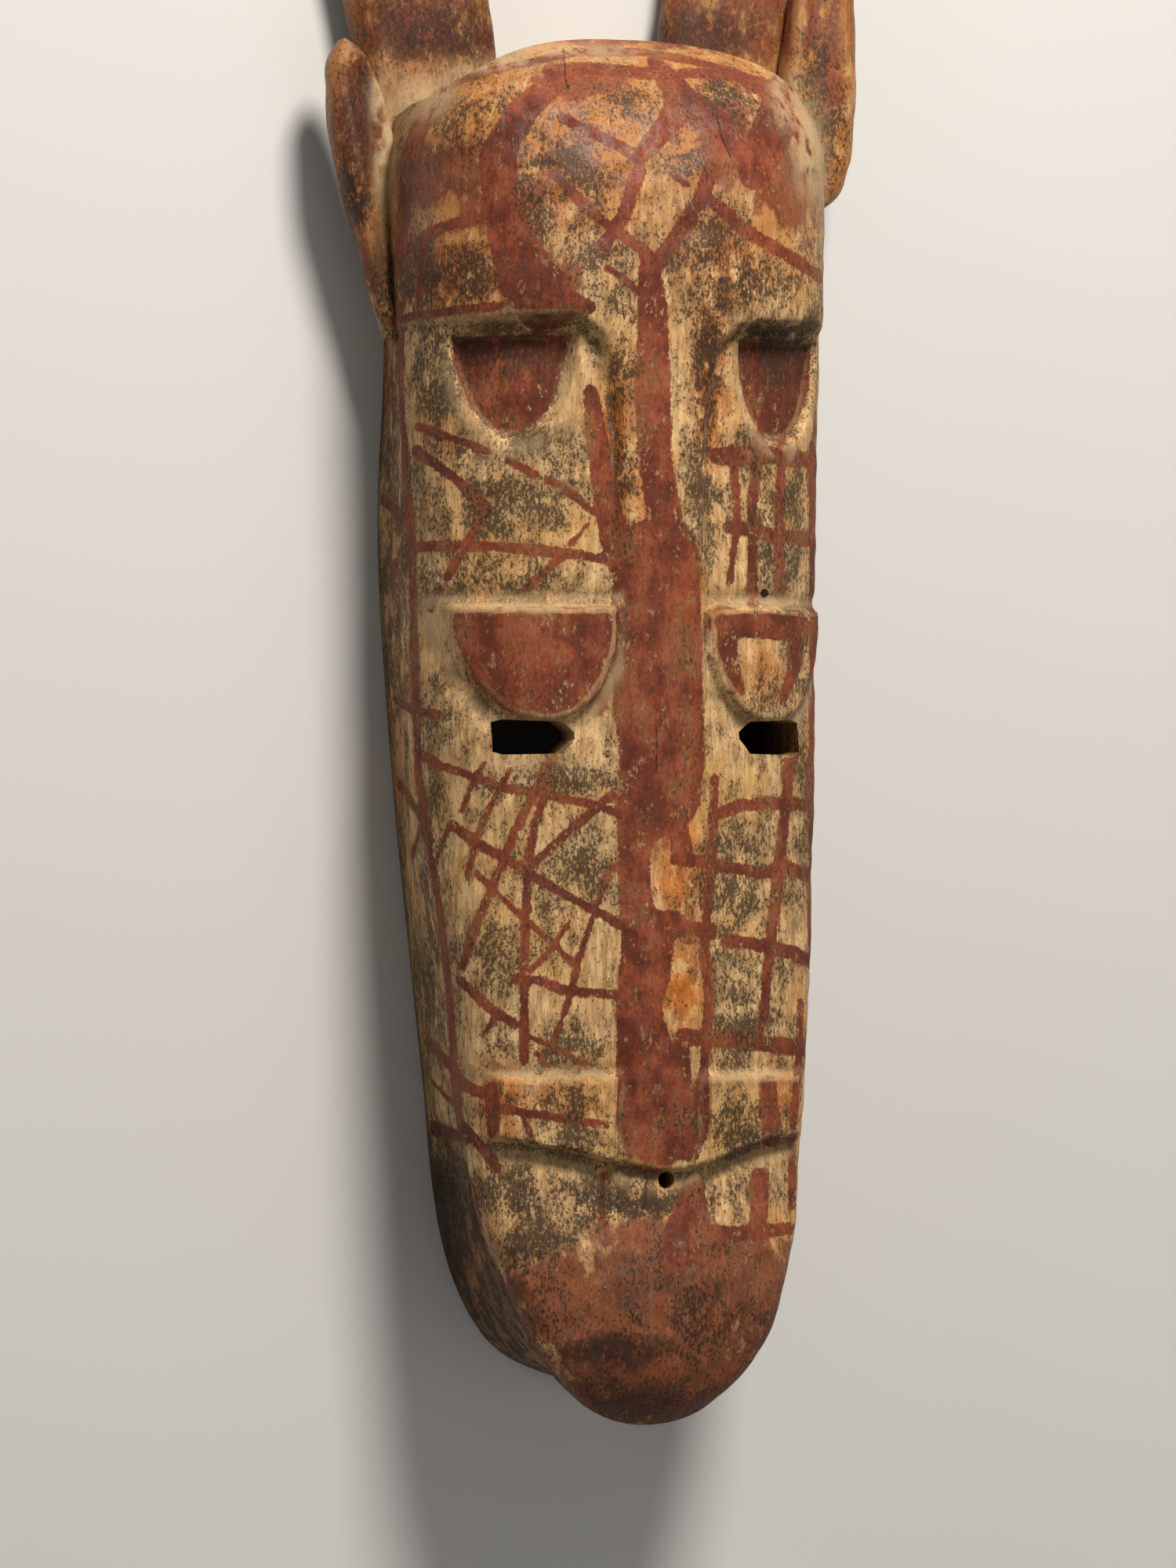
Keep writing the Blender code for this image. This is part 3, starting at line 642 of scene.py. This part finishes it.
def slit(name, side):
    """A see-through slit under a cheek, pointed towards the nose."""
    bm = bmesh.new()
    ends = []
    for z in (-0.5, 0.5):
        ends.append([bm.verts.new((x, y, z)) for x, y in SLIT_OUTLINE])
    bm.faces.new(ends[0])
    bm.faces.new(list(reversed(ends[1])))
    for i in range(len(SLIT_OUTLINE)):
        j = (i + 1) % len(SLIT_OUTLINE)
        bm.faces.new((ends[0][i], ends[1][i], ends[1][j], ends[0][j]))
    bmesh.ops.recalc_face_normals(bm, faces=bm.faces)
    obj = as_object(name, bm)

    def place(x, y, z):
        return side * (SLIT_X + x * SLIT_WIDTH), SLIT_Y + y * SLIT_HEIGHT, DEPTH * (0.86 + 0.7 * z)

    move_vertices(obj, place)
    if side < 0:
        obj.data.flip_normals()
    return obj


def hole(name, x, y, z, diameter, depth):
    """A round hole running back along Z."""
    bm = bmesh.new()
    radius = diameter / 2
    bmesh.ops.create_cone(bm, cap_ends=True, segments=20, radius1=radius, radius2=radius, depth=depth)
    bmesh.ops.translate(bm, verts=bm.verts, vec=(x, y, z))
    return as_object(name, bm)


def combine(body, others, operation):
    for other in others:
        modifier = body.modifiers.new(f"{operation.lower()} {other.name}", "BOOLEAN")
        modifier.operation = operation
        modifier.object = other


def weld(mesh):
    """Takes out the edges under 0.01 mm long and the spare vertices that the cuts leave."""
    bm = bmesh.new()
    bm.from_mesh(mesh)
    bmesh.ops.dissolve_degenerate(bm, dist=1e-5, edges=bm.edges)
    spare = [vertex for vertex in bm.verts if len(vertex.link_edges) == 2]
    bmesh.ops.dissolve_verts(bm, verts=spare)
    bm.to_mesh(mesh)
    bm.free()


def carve():
    """The whole mask as one closed mesh, in its own place; build_mask() moves it to where its CAD node lies.
    """
    collection = bpy.context.scene.collection
    body = blank("body", *FACE_GRID)
    move_vertices(body, face_place)
    added = []
    for side in (-1, 1):
        base = (side * HORN_X, HORN_Y, HORN_THICKNESS / 2 + 0.01 * DEPTH)
        horn = prong_place(base, HORN_LEAN, HORN_LENGTH, HORN_WIDTH, HORN_THICKNESS, HORN_WIDTHS, HORN_CURVE)
        added.append(prong(f"horn{side}", *HORN_GRID, horn))
    for side, base_x, base_y, lean, widths in EARS:
        base = (side * base_x * HALF, base_y * LENGTH, 0.29 * DEPTH)
        lean = math.radians(lean)
        ear = prong_place(base, lean, EAR_LENGTH, EAR_WIDTH, EAR_THICKNESS, widths, EAR_CURVE, EAR_DISH)
        added.append(prong(f"ear{side}", *EAR_GRID, ear))
    hollow = blank("hollow", *HOLLOW_GRID)
    move_vertices(hollow, hollow_place)
    cuts = [hollow, slit("slit left", -1), slit("slit right", 1)]
    cuts.append(hole("breath hole", 0.033 * HALF, HOLE_Y, DEPTH, BREATH_HOLE, 0.8 * DEPTH))
    for obj in [body, *added, *cuts]:
        collection.objects.link(obj)
    combine(body, added, "UNION")
    combine(body, cuts, "DIFFERENCE")
    bpy.context.view_layer.update()
    mesh = bpy.data.meshes.new_from_object(body.evaluated_get(bpy.context.evaluated_depsgraph_get()))
    for obj in [body, *added, *cuts]:
        bpy.data.objects.remove(obj)
    weld(mesh)
    return mesh


def to_pixels(x, y, z):
    """Where the photograph shows a place on the mask."""
    column = MIDDLE_COLUMN + PIXELS_PER_METRE * (math.cos(TURN) * x + math.sin(TURN) * (z - EYE_PLANE))
    return column, CHIN_ROW - PIXELS_PER_METRE * y


def stroke_field(column, row, strokes, spread=0.0):
    """For the nearest stroke: how far inside it a place lies, its half-width and the signed offset."""
    count = len(column)
    reach, half, beside = np.full(count, -float(NOWHERE)), np.zeros(count), np.full(count, float(NOWHERE))
    for width, *points in strokes.values():
        spots = [(*point, width)[:3] for point in points]
        for (x0, y0, w0), (x1, y1, w1) in zip(spots, spots[1:]):
            dx, dy = x1 - x0, y1 - y0
            along = np.clip(((column - x0) * dx + (row - y0) * dy) / (dx * dx + dy * dy), 0, 1)
            away = np.hypot(column - x0 - along * dx, row - y0 - along * dy)
            side = np.sign(dx * (row - y0) - dy * (column - x0))
            here = (w0 + (w1 - w0) * along) / 2 + spread
            nearer = here - away > reach
            reach = np.where(nearer, here - away, reach)
            half = np.where(nearer, here, half)
            beside = np.where(nearer, side * away, beside)
    return reach, half, beside


def patches(column, row, table):
    """How strongly each place lies in one of the round patches."""
    amount = np.zeros(len(column))
    for x, y, wide, high, strength in table:
        far = ((column - x) / wide) ** 2 + ((row - y) / high) ** 2
        amount = np.maximum(amount, strength * np.exp(-(far**1.5)))
    return amount


def surface_marks(mesh):
    """Stores where paint, washes, soot, dust, painted highlights, painted shade and the other marks lie on
    the mesh's vertices.
    """
    spots = coordinates(mesh)
    normals = vertex_normals(mesh)
    x, y, z = spots.T
    # The photograph shows the front and the left side. The right side repeats the left one's pattern.
    facing = normals[:, 0] * -math.sin(TURN) + normals[:, 2] * math.cos(TURN)
    turned_away = (x > 0) & (facing < 0.10)
    column, row = to_pixels(np.where(turned_away, -x, x), y, z)
    behind = inside(-normals[:, 2] - 0.3, 0.2)
    paint, half, beside = stroke_field(column, row, STROKES, SPREAD)
    side = np.abs(x)
    moon = half_moon(side - CHEEK_X, y, CHEEK_Y, CHEEK_WIDTH, CHEEK_HEIGHT) * PIXELS_PER_METRE - 1
    socket = half_moon(side - EYE_X, y, EYE_Y, EYE_WIDTH, EYE_HEIGHT) * PIXELS_PER_METRE - 2
    on_front = z > FRONT_FROM
    filled = np.maximum(np.where(x < 0, moon, -NOWHERE), socket)
    filled = np.where(on_front & (filled > paint), filled, -NOWHERE)
    paint = np.maximum(paint, filled)
    half = np.where(filled > -NOWHERE, filled, half)
    beside = beside * (filled == -NOWHERE)
    # Pale dust lies in the grooves round the half-moons. Painted highlights lie on the sockets' lower rims
    # and in a lit line under the lip.
    below_lip = lip_line(x) - y
    grooves = np.maximum(
        0.75 * bell(moon, -12, 7) * inside(side - 0.4 * NOSE_WIDTH),
        0.55 * bell(socket, -12, 6) * soft((EYE_Y - y) / 0.02),
    )
    under_lip = 0.55 * bell(below_lip, 0.0045, 0.003) * inside(PAD_OUTER - side, 0.01)
    grooves = np.maximum(grooves, under_lip) * on_front
    # Painted shade on the walls under the chin and low down near the rim, where the light falls off
    under_chin = inside(0.070 - z, 0.02) * inside(0.19 * LENGTH - y, 0.03)
    crack, _, crack_beside = stroke_field(column, row, CRACKS)
    marks = {
        "paint": paint - 40 * behind,
        "paint_half": half - 40 * behind,
        "paint_beside": beside,
        "wash": np.maximum(patches(column, row, WASHES), 0.72 * inside(y - CROWN_Y, 0.02)) * (1 - behind),
        "soot": patches(column, row, SOOT),
        "orange": patches(column, row, ORANGE),
        # Pale dust, with painted highlights on lit ledges and rims
        "dust_and_highlight": np.maximum(patches(column, row, DUST_AND_HIGHLIGHTS), grooves),
        "patina": inside(340 - row, 120) + 0.6 * inside(row - 1560, 100),
        # Dark patches, and painted shadow in the sockets and beside the nose
        "dark_patch_and_shadow": patches(column, row, DARK_PATCHES_AND_SHADOW),
        "crack": -crack,
        "crack_beside": crack_beside,
        "nail": np.hypot(column - NAIL_HOLE[0], row - NAIL_HOLE[1]),
        "behind": behind,
        "wall_shade": np.maximum(under_chin, 0.35 * inside(0.03 - z, 0.03)),
    }
    for name, values in marks.items():
        store(mesh, name, values)


def cavities(mesh):
    """Stores how hollow (over 0.5) or proud (under 0.5) the surface is at each vertex."""
    edges = np.empty(2 * len(mesh.edges), np.int32)
    mesh.edges.foreach_get("vertices", edges)
    first, second = edges.reshape(-1, 2).T
    spots = coordinates(mesh)
    normals = vertex_normals(mesh)
    step = spots[second] - spots[first]
    length = np.maximum(np.linalg.norm(step, axis=1), 1e-5)
    bend, count = np.zeros(len(spots)), np.zeros(len(spots))
    for here, sign in ((first, 1), (second, -1)):
        np.add.at(bend, here, sign * (step * normals[here]).sum(1) / length)
        np.add.at(count, here, 1)
    hollow = bend / np.maximum(count, 1)
    for _ in range(3):
        total = np.zeros(len(spots))
        np.add.at(total, first, hollow[second])
        np.add.at(total, second, hollow[first])
        hollow = 0.5 * hollow + 0.5 * total / np.maximum(count, 1)
    store(mesh, "hollow", np.clip(0.5 + 3.0 * hollow, 0, 1))


def tone(name):
    """A named colour as the shader takes it. None of them is so dark that the curve turns straight."""
    return (*[((value / 255 + 0.055) / 1.055) ** 2.4 for value in COLOURS[name]], 1)


class Nodes:
    """Short calls for the nodes of one material."""

    def __init__(self, material):
        self.tree = material.node_tree
        self.where = self.add("ShaderNodeTexCoord").outputs["Object"]

    def add(self, kind, **settings):
        node = self.tree.nodes.new(kind)
        for name, value in settings.items():
            setattr(node, name, value)
        return node

    def fill(self, socket, value):
        if isinstance(value, bpy.types.NodeSocket):
            self.tree.links.new(value, socket)
        else:
            socket.default_value = value

    def mark(self, name):
        return self.add("ShaderNodeAttribute", attribute_name=name).outputs["Fac"]

    def math(self, operation, *values, clamp=False):
        node = self.add("ShaderNodeMath", operation=operation, use_clamp=clamp)
        for socket, value in zip(node.inputs, values):
            self.fill(socket, value)
        return node.outputs[0]

    def times(self, *values, **settings):
        return self.math("MULTIPLY", *values, **settings)

    def plus(self, *values, **settings):
        return self.math("ADD", *values, **settings)

    def minus(self, *values):
        return self.math("SUBTRACT", *values)

    def larger(self, *values):
        return self.math("MAXIMUM", *values)

    def noise(self, scale, detail, rough, stretch=(1, 1, 1), offset=(0, 0, 0), warp=0.0):
        mapping = self.add("ShaderNodeMapping")
        mapping.inputs["Scale"].default_value = stretch
        mapping.inputs["Location"].default_value = offset
        self.fill(mapping.inputs["Vector"], self.where)
        node = self.add("ShaderNodeTexNoise")
        node.inputs["Scale"].default_value = scale
        node.inputs["Detail"].default_value = detail
        node.inputs["Roughness"].default_value = rough
        node.inputs["Distortion"].default_value = warp
        self.fill(node.inputs["Vector"], mapping.outputs[0])
        return node.outputs["Fac"]

    def ramp(self, value, low, high):
        """0 at low, 1 at high and a smooth rise between. The limits may be sockets."""
        node = self.add("ShaderNodeMapRange", interpolation_type="SMOOTHSTEP")
        self.fill(node.inputs["Value"], value)
        self.fill(node.inputs["From Min"], low)
        self.fill(node.inputs["From Max"], high)
        return node.outputs[0]

    def mix(self, amount, first, second):
        node = self.add("ShaderNodeMix", data_type="RGBA", blend_type="MIX")
        self.fill(node.inputs[0], amount)
        self.fill(node.inputs[6], first)
        self.fill(node.inputs[7], second)
        return node.outputs[2]


def painted_wood():
    material = bpy.data.materials.new("painted wood")
    material.use_nodes = True
    n = Nodes(material)
    shader = material.node_tree.nodes["Principled BSDF"]
    grain = n.noise(420, 9, 0.68, stretch=(1, 0.12, 1), warp=0.4)
    fine_grain = n.noise(1300, 6, 0.6, stretch=(1, 0.12, 1))
    blotch = n.noise(30, 5, 0.6)
    patchy = n.noise(75, 6, 0.62, stretch=(1, 0.6, 1), offset=(3, 1, 2))
    cluster = n.noise(190, 6, 0.68, stretch=(1, 0.6, 1), offset=(9, 4, 6))
    speck = n.noise(900, 3, 0.65, stretch=(1, 0.55, 1), offset=(1, 5, 3))
    fine_speck = n.noise(1900, 3, 0.7, stretch=(1, 0.55, 1), offset=(4, 8, 2))
    fleck = n.noise(800, 4, 0.7, stretch=(1, 0.6, 1), offset=(7, 2, 1))
    soot, orange, dark_patch_and_shadow = n.mark("soot"), n.mark("orange"), n.mark("dark_patch_and_shadow")
    patina, hollow = n.mark("patina"), n.mark("hollow")

    # Pale wood, warmer where it is handled
    wood = n.mix(n.ramp(grain, 0.36, 0.62), tone("wood in the grain"), tone("wood"))
    wood = n.mix(n.times(n.ramp(blotch, 0.46, 0.66), 0.65), wood, tone("warm wood"))
    warm = n.times(orange, n.ramp(cluster, 0.36, 0.50), clamp=True)
    wood = n.mix(n.times(warm, 0.92), wood, tone("orange wood"))
    handled = n.times(patina, n.ramp(patchy, 0.62, 0.42))
    wood = n.mix(n.times(handled, 0.70), wood, tone("handled wood"))

    # Paint: strokes with ragged, worn edges and thin washes. Past a stroke's end its offset no longer
    # tells the distance, so the stored reach takes over there.
    wrong_side = n.minus(n.minus(n.mark("paint_half"), n.mark("paint")), 3.0)
    wrong_side = n.times(n.larger(wrong_side, 0.0), 3.0)
    centred = n.minus(n.mark("paint_half"), n.math("ABSOLUTE", n.mark("paint_beside")))
    reach = n.larger(n.mark("paint"), n.minus(centred, wrong_side))
    ragged = n.times(n.minus(fleck, 0.5), 12.0)
    slow = n.times(n.minus(patchy, 0.5), 12.0)
    reach = n.plus(n.plus(reach, ragged), slow)
    stroke = n.ramp(reach, -1.2, 1.2)
    wash_limit = n.minus(0.72, n.times(n.mark("wash"), 0.38))
    wash_noise = n.plus(n.times(patchy, 0.55), n.times(cluster, 0.45))
    wash = n.ramp(wash_noise, n.minus(wash_limit, 0.06), n.plus(wash_limit, 0.06))
    thin = n.minus(0.97, n.times(n.ramp(patchy, 0.46, 0.66), 0.10))
    covered = n.larger(n.times(stroke, thin), n.times(wash, 0.86))
    worn = n.ramp(n.plus(n.times(fleck, 0.5), n.times(cluster, 0.5)), 0.552, 0.607)
    wear = n.minus(0.75, n.times(n.ramp(n.mark("paint"), 8.0, 34.0), 0.35))
    covered = n.times(covered, n.minus(1.0, n.times(worn, wear)))
    proud = n.ramp(hollow, 0.36, 0.22)
    covered = n.times(covered, n.minus(1.0, n.times(proud, 0.5)))
    red = n.mix(n.ramp(patchy, 0.40, 0.60), tone("deep red"), tone("red"))
    red = n.mix(n.times(n.ramp(blotch, 0.48, 0.62), 0.55), red, tone("faded red"))
    red = n.mix(n.times(n.ramp(speck, 0.49, 0.60), 0.60), red, tone("dark red"))
    colour = n.mix(covered, wood, red)

    # Soot: soft brown clouds and fine dark specks gathered in them
    broken = n.plus(0.045, n.times(n.ramp(n.noise(55, 4, 0.6, offset=(6, 2, 8)), 0.40, 0.60), 0.085))
    gathered = n.plus(n.times(soot, broken), n.times(n.ramp(hollow, 0.5, 0.8), 0.04))
    gathered = n.minus(gathered, n.times(covered, 0.06))
    cloud_noise = n.plus(n.times(patchy, 0.45), n.times(cluster, 0.55))
    cloud = n.ramp(n.plus(cloud_noise, gathered), 0.44, 0.61)
    veil = n.mix(patina, tone("soot veil"), tone("soot veil on the forehead"))
    colour = n.mix(n.times(cloud, 0.50), colour, veil)
    speck_noise = n.plus(n.times(speck, 0.55), n.times(fine_speck, 0.45))
    speck_limit = n.minus(n.minus(0.575, n.times(cloud, 0.075)), gathered)
    dirt = n.ramp(speck_noise, speck_limit, n.plus(speck_limit, 0.06))
    colour = n.mix(n.times(dirt, 0.80), colour, tone("soot speck"))
    streak = n.ramp(n.plus(fine_grain, n.times(gathered, 0.5)), 0.50, 0.62)
    colour = n.mix(n.times(streak, 0.28), colour, tone("grain streak"))
    # Dark patches, with painted shadow in the eye sockets' upper parts and beside the nose's right flank
    mottled = n.plus(n.times(cluster, 0.55), n.times(speck, 0.45))
    patch_and_shadow_cover = n.times(dark_patch_and_shadow, n.ramp(n.plus(mottled, n.times(dark_patch_and_shadow, 0.10)), 0.46, 0.60))
    colour = n.mix(n.times(patch_and_shadow_cover, 0.80, clamp=True), colour, tone("dark_patch_and_shadow"))

    # Pale dust on ledges and in creases, with painted highlights along the lit ledges and rims
    pale_dust_and_highlight = n.times(n.mark("dust_and_highlight"), n.ramp(cluster, 0.34, 0.56))
    crease = n.times(n.ramp(hollow, 0.66, 0.92), 0.30)
    pale_dust_and_highlight = n.larger(pale_dust_and_highlight, n.times(crease, n.ramp(cluster, 0.40, 0.56)))
    colour = n.mix(n.times(pale_dust_and_highlight, 0.80, clamp=True), colour, tone("dust_and_highlight"))

    # Painted shade darkens the plain side walls under the chin and low down near the rim. The inside is
    # darker and unpainted.
    side = n.times(n.mark("wall_shade"), n.ramp(cluster, 0.58, 0.46))
    colour = n.mix(n.times(side, 0.90), colour, tone("side wall"))
    colour = n.mix(n.times(n.mark("behind"), 0.8), colour, tone("back"))

    # Cracks, which waver as the strokes do, and the nail hole
    off_crack = n.larger(n.minus(n.mark("crack"), 3.0), 0.0)
    beside = n.plus(n.mark("crack_beside"), n.times(n.minus(cluster, 0.5), 9.0))
    off_crack = n.plus(n.math("ABSOLUTE", beside), n.times(off_crack, 3.0))
    crack = n.ramp(n.plus(off_crack, n.times(fleck, 3.0)), 2.9, 1.5)
    crack = n.larger(n.times(crack, 0.7), n.ramp(n.mark("nail"), 6.5, 4.5))
    colour = n.mix(crack, colour, tone("crack"))
    n.fill(shader.inputs["Base Color"], colour)

    polish = n.times(patina, n.ramp(cluster, 0.36, 0.56))
    rough = n.minus(0.82, n.times(polish, 0.42))
    shader.inputs["Specular IOR Level"].default_value = 0.32
    n.fill(shader.inputs["Roughness"], n.plus(rough, n.times(pale_dust_and_highlight, 0.2), clamp=True))

    height = n.plus(n.times(grain, 0.40), n.times(fine_grain, 0.20))
    height = n.plus(height, n.times(speck, 0.22))
    height = n.plus(height, n.times(cluster, 0.30))
    height = n.plus(height, n.times(covered, 0.12))
    height = n.minus(height, crack)
    bump = n.add("ShaderNodeBump")
    bump.inputs["Strength"].default_value = 0.6
    bump.inputs["Distance"].default_value = 0.0010
    n.fill(bump.inputs["Height"], height)
    n.fill(shader.inputs["Normal"], bump.outputs[0])
    return material


def floor_material():
    material = bpy.data.materials.new("pale floor")
    material.use_nodes = True
    shader = material.node_tree.nodes["Principled BSDF"]
    shader.inputs["Base Color"].default_value = FLOOR_COLOUR
    shader.inputs["Roughness"].default_value = 0.8
    return material


def build_mask():
    mesh = carve()
    mesh.name = "mask_surface"
    surface_marks(mesh)
    cavities(mesh)
    mesh.shade_smooth()
    mesh.set_sharp_from_angle(angle=math.radians(60))
    spots = coordinates(mesh)
    lowest, highest = np.array(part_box("carved_mask"))
    low, high = spots.min(0), spots.max(0)
    shift = (lowest + highest) / 2 - (low + high) / 2
    shift[2] = lowest[2] - low[2]
    # Waver and adze marks may stand out by a tenth of a millimetre, so they end at the solid's box.
    spots = np.clip(spots + shift, lowest, highest)
    mesh.vertices.foreach_set("co", spots.ravel())
    mesh.update()
    mask = bpy.data.objects.new("mask_surface", mesh)
    bpy.context.scene.collection.objects.link(mask)
    mesh.materials.clear()
    mesh.materials.append(painted_wood())
    mesh.polygons.foreach_set("material_index", np.zeros(len(mesh.polygons), np.int32))
    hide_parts("carved_mask")
    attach(mask, "root")
    print("faces", len(mesh.polygons), "size", (high - low).round(4), (highest - lowest).round(4))
    return mask, shift[1]


def build_studio(shift_y):
    # Half a millimetre under the rim, so that the two never share a plane
    bpy.ops.mesh.primitive_plane_add(size=12, location=(0, 0, -0.0005))
    floor = bpy.context.object
    floor.name = "floor"
    floor.data.materials.append(floor_material())

    target = Vector((VIEW_MIDDLE[0], VIEW_MIDDLE[1] + shift_y, EYE_PLANE))
    away = Vector((-math.sin(TURN), 0, math.cos(TURN)))
    camera_data = bpy.data.cameras.new("camera")
    camera_data.sensor_fit = "VERTICAL"
    camera_data.sensor_height = SENSOR
    camera_data.lens = SENSOR * CAMERA_DISTANCE / (PHOTO_ROWS / PIXELS_PER_METRE)
    camera = bpy.data.objects.new("camera", camera_data)
    bpy.context.scene.collection.objects.link(camera)
    across = Vector((math.cos(TURN), 0, math.sin(TURN)))
    turned = Matrix((across, Vector((0, 1, 0)), away)).transposed()
    camera.matrix_world = Matrix.Translation(target + CAMERA_DISTANCE * away) @ turned.to_4x4()
    bpy.context.scene.camera = camera

    for name, (place, size, power, colour) in LIGHTS.items():
        data = bpy.data.lights.new(name, "AREA")
        data.shape, data.size, data.energy, data.color = "DISK", size, power, colour
        lamp = bpy.data.objects.new(name, data)
        lamp.location = place
        lamp.rotation_euler = (Vector(LIT_PLACE) - Vector(place)).to_track_quat("-Z", "Y").to_euler()
        bpy.context.scene.collection.objects.link(lamp)

    world = bpy.data.worlds.new("studio")
    world.use_nodes = True
    world.node_tree.nodes["Background"].inputs["Color"].default_value = WORLD_COLOUR
    world.node_tree.nodes["Background"].inputs["Strength"].default_value = WORLD_STRENGTH
    bpy.context.scene.world = world
    bpy.context.scene.view_settings.view_transform = "Standard"


mask, shift_y = build_mask()
build_studio(shift_y)
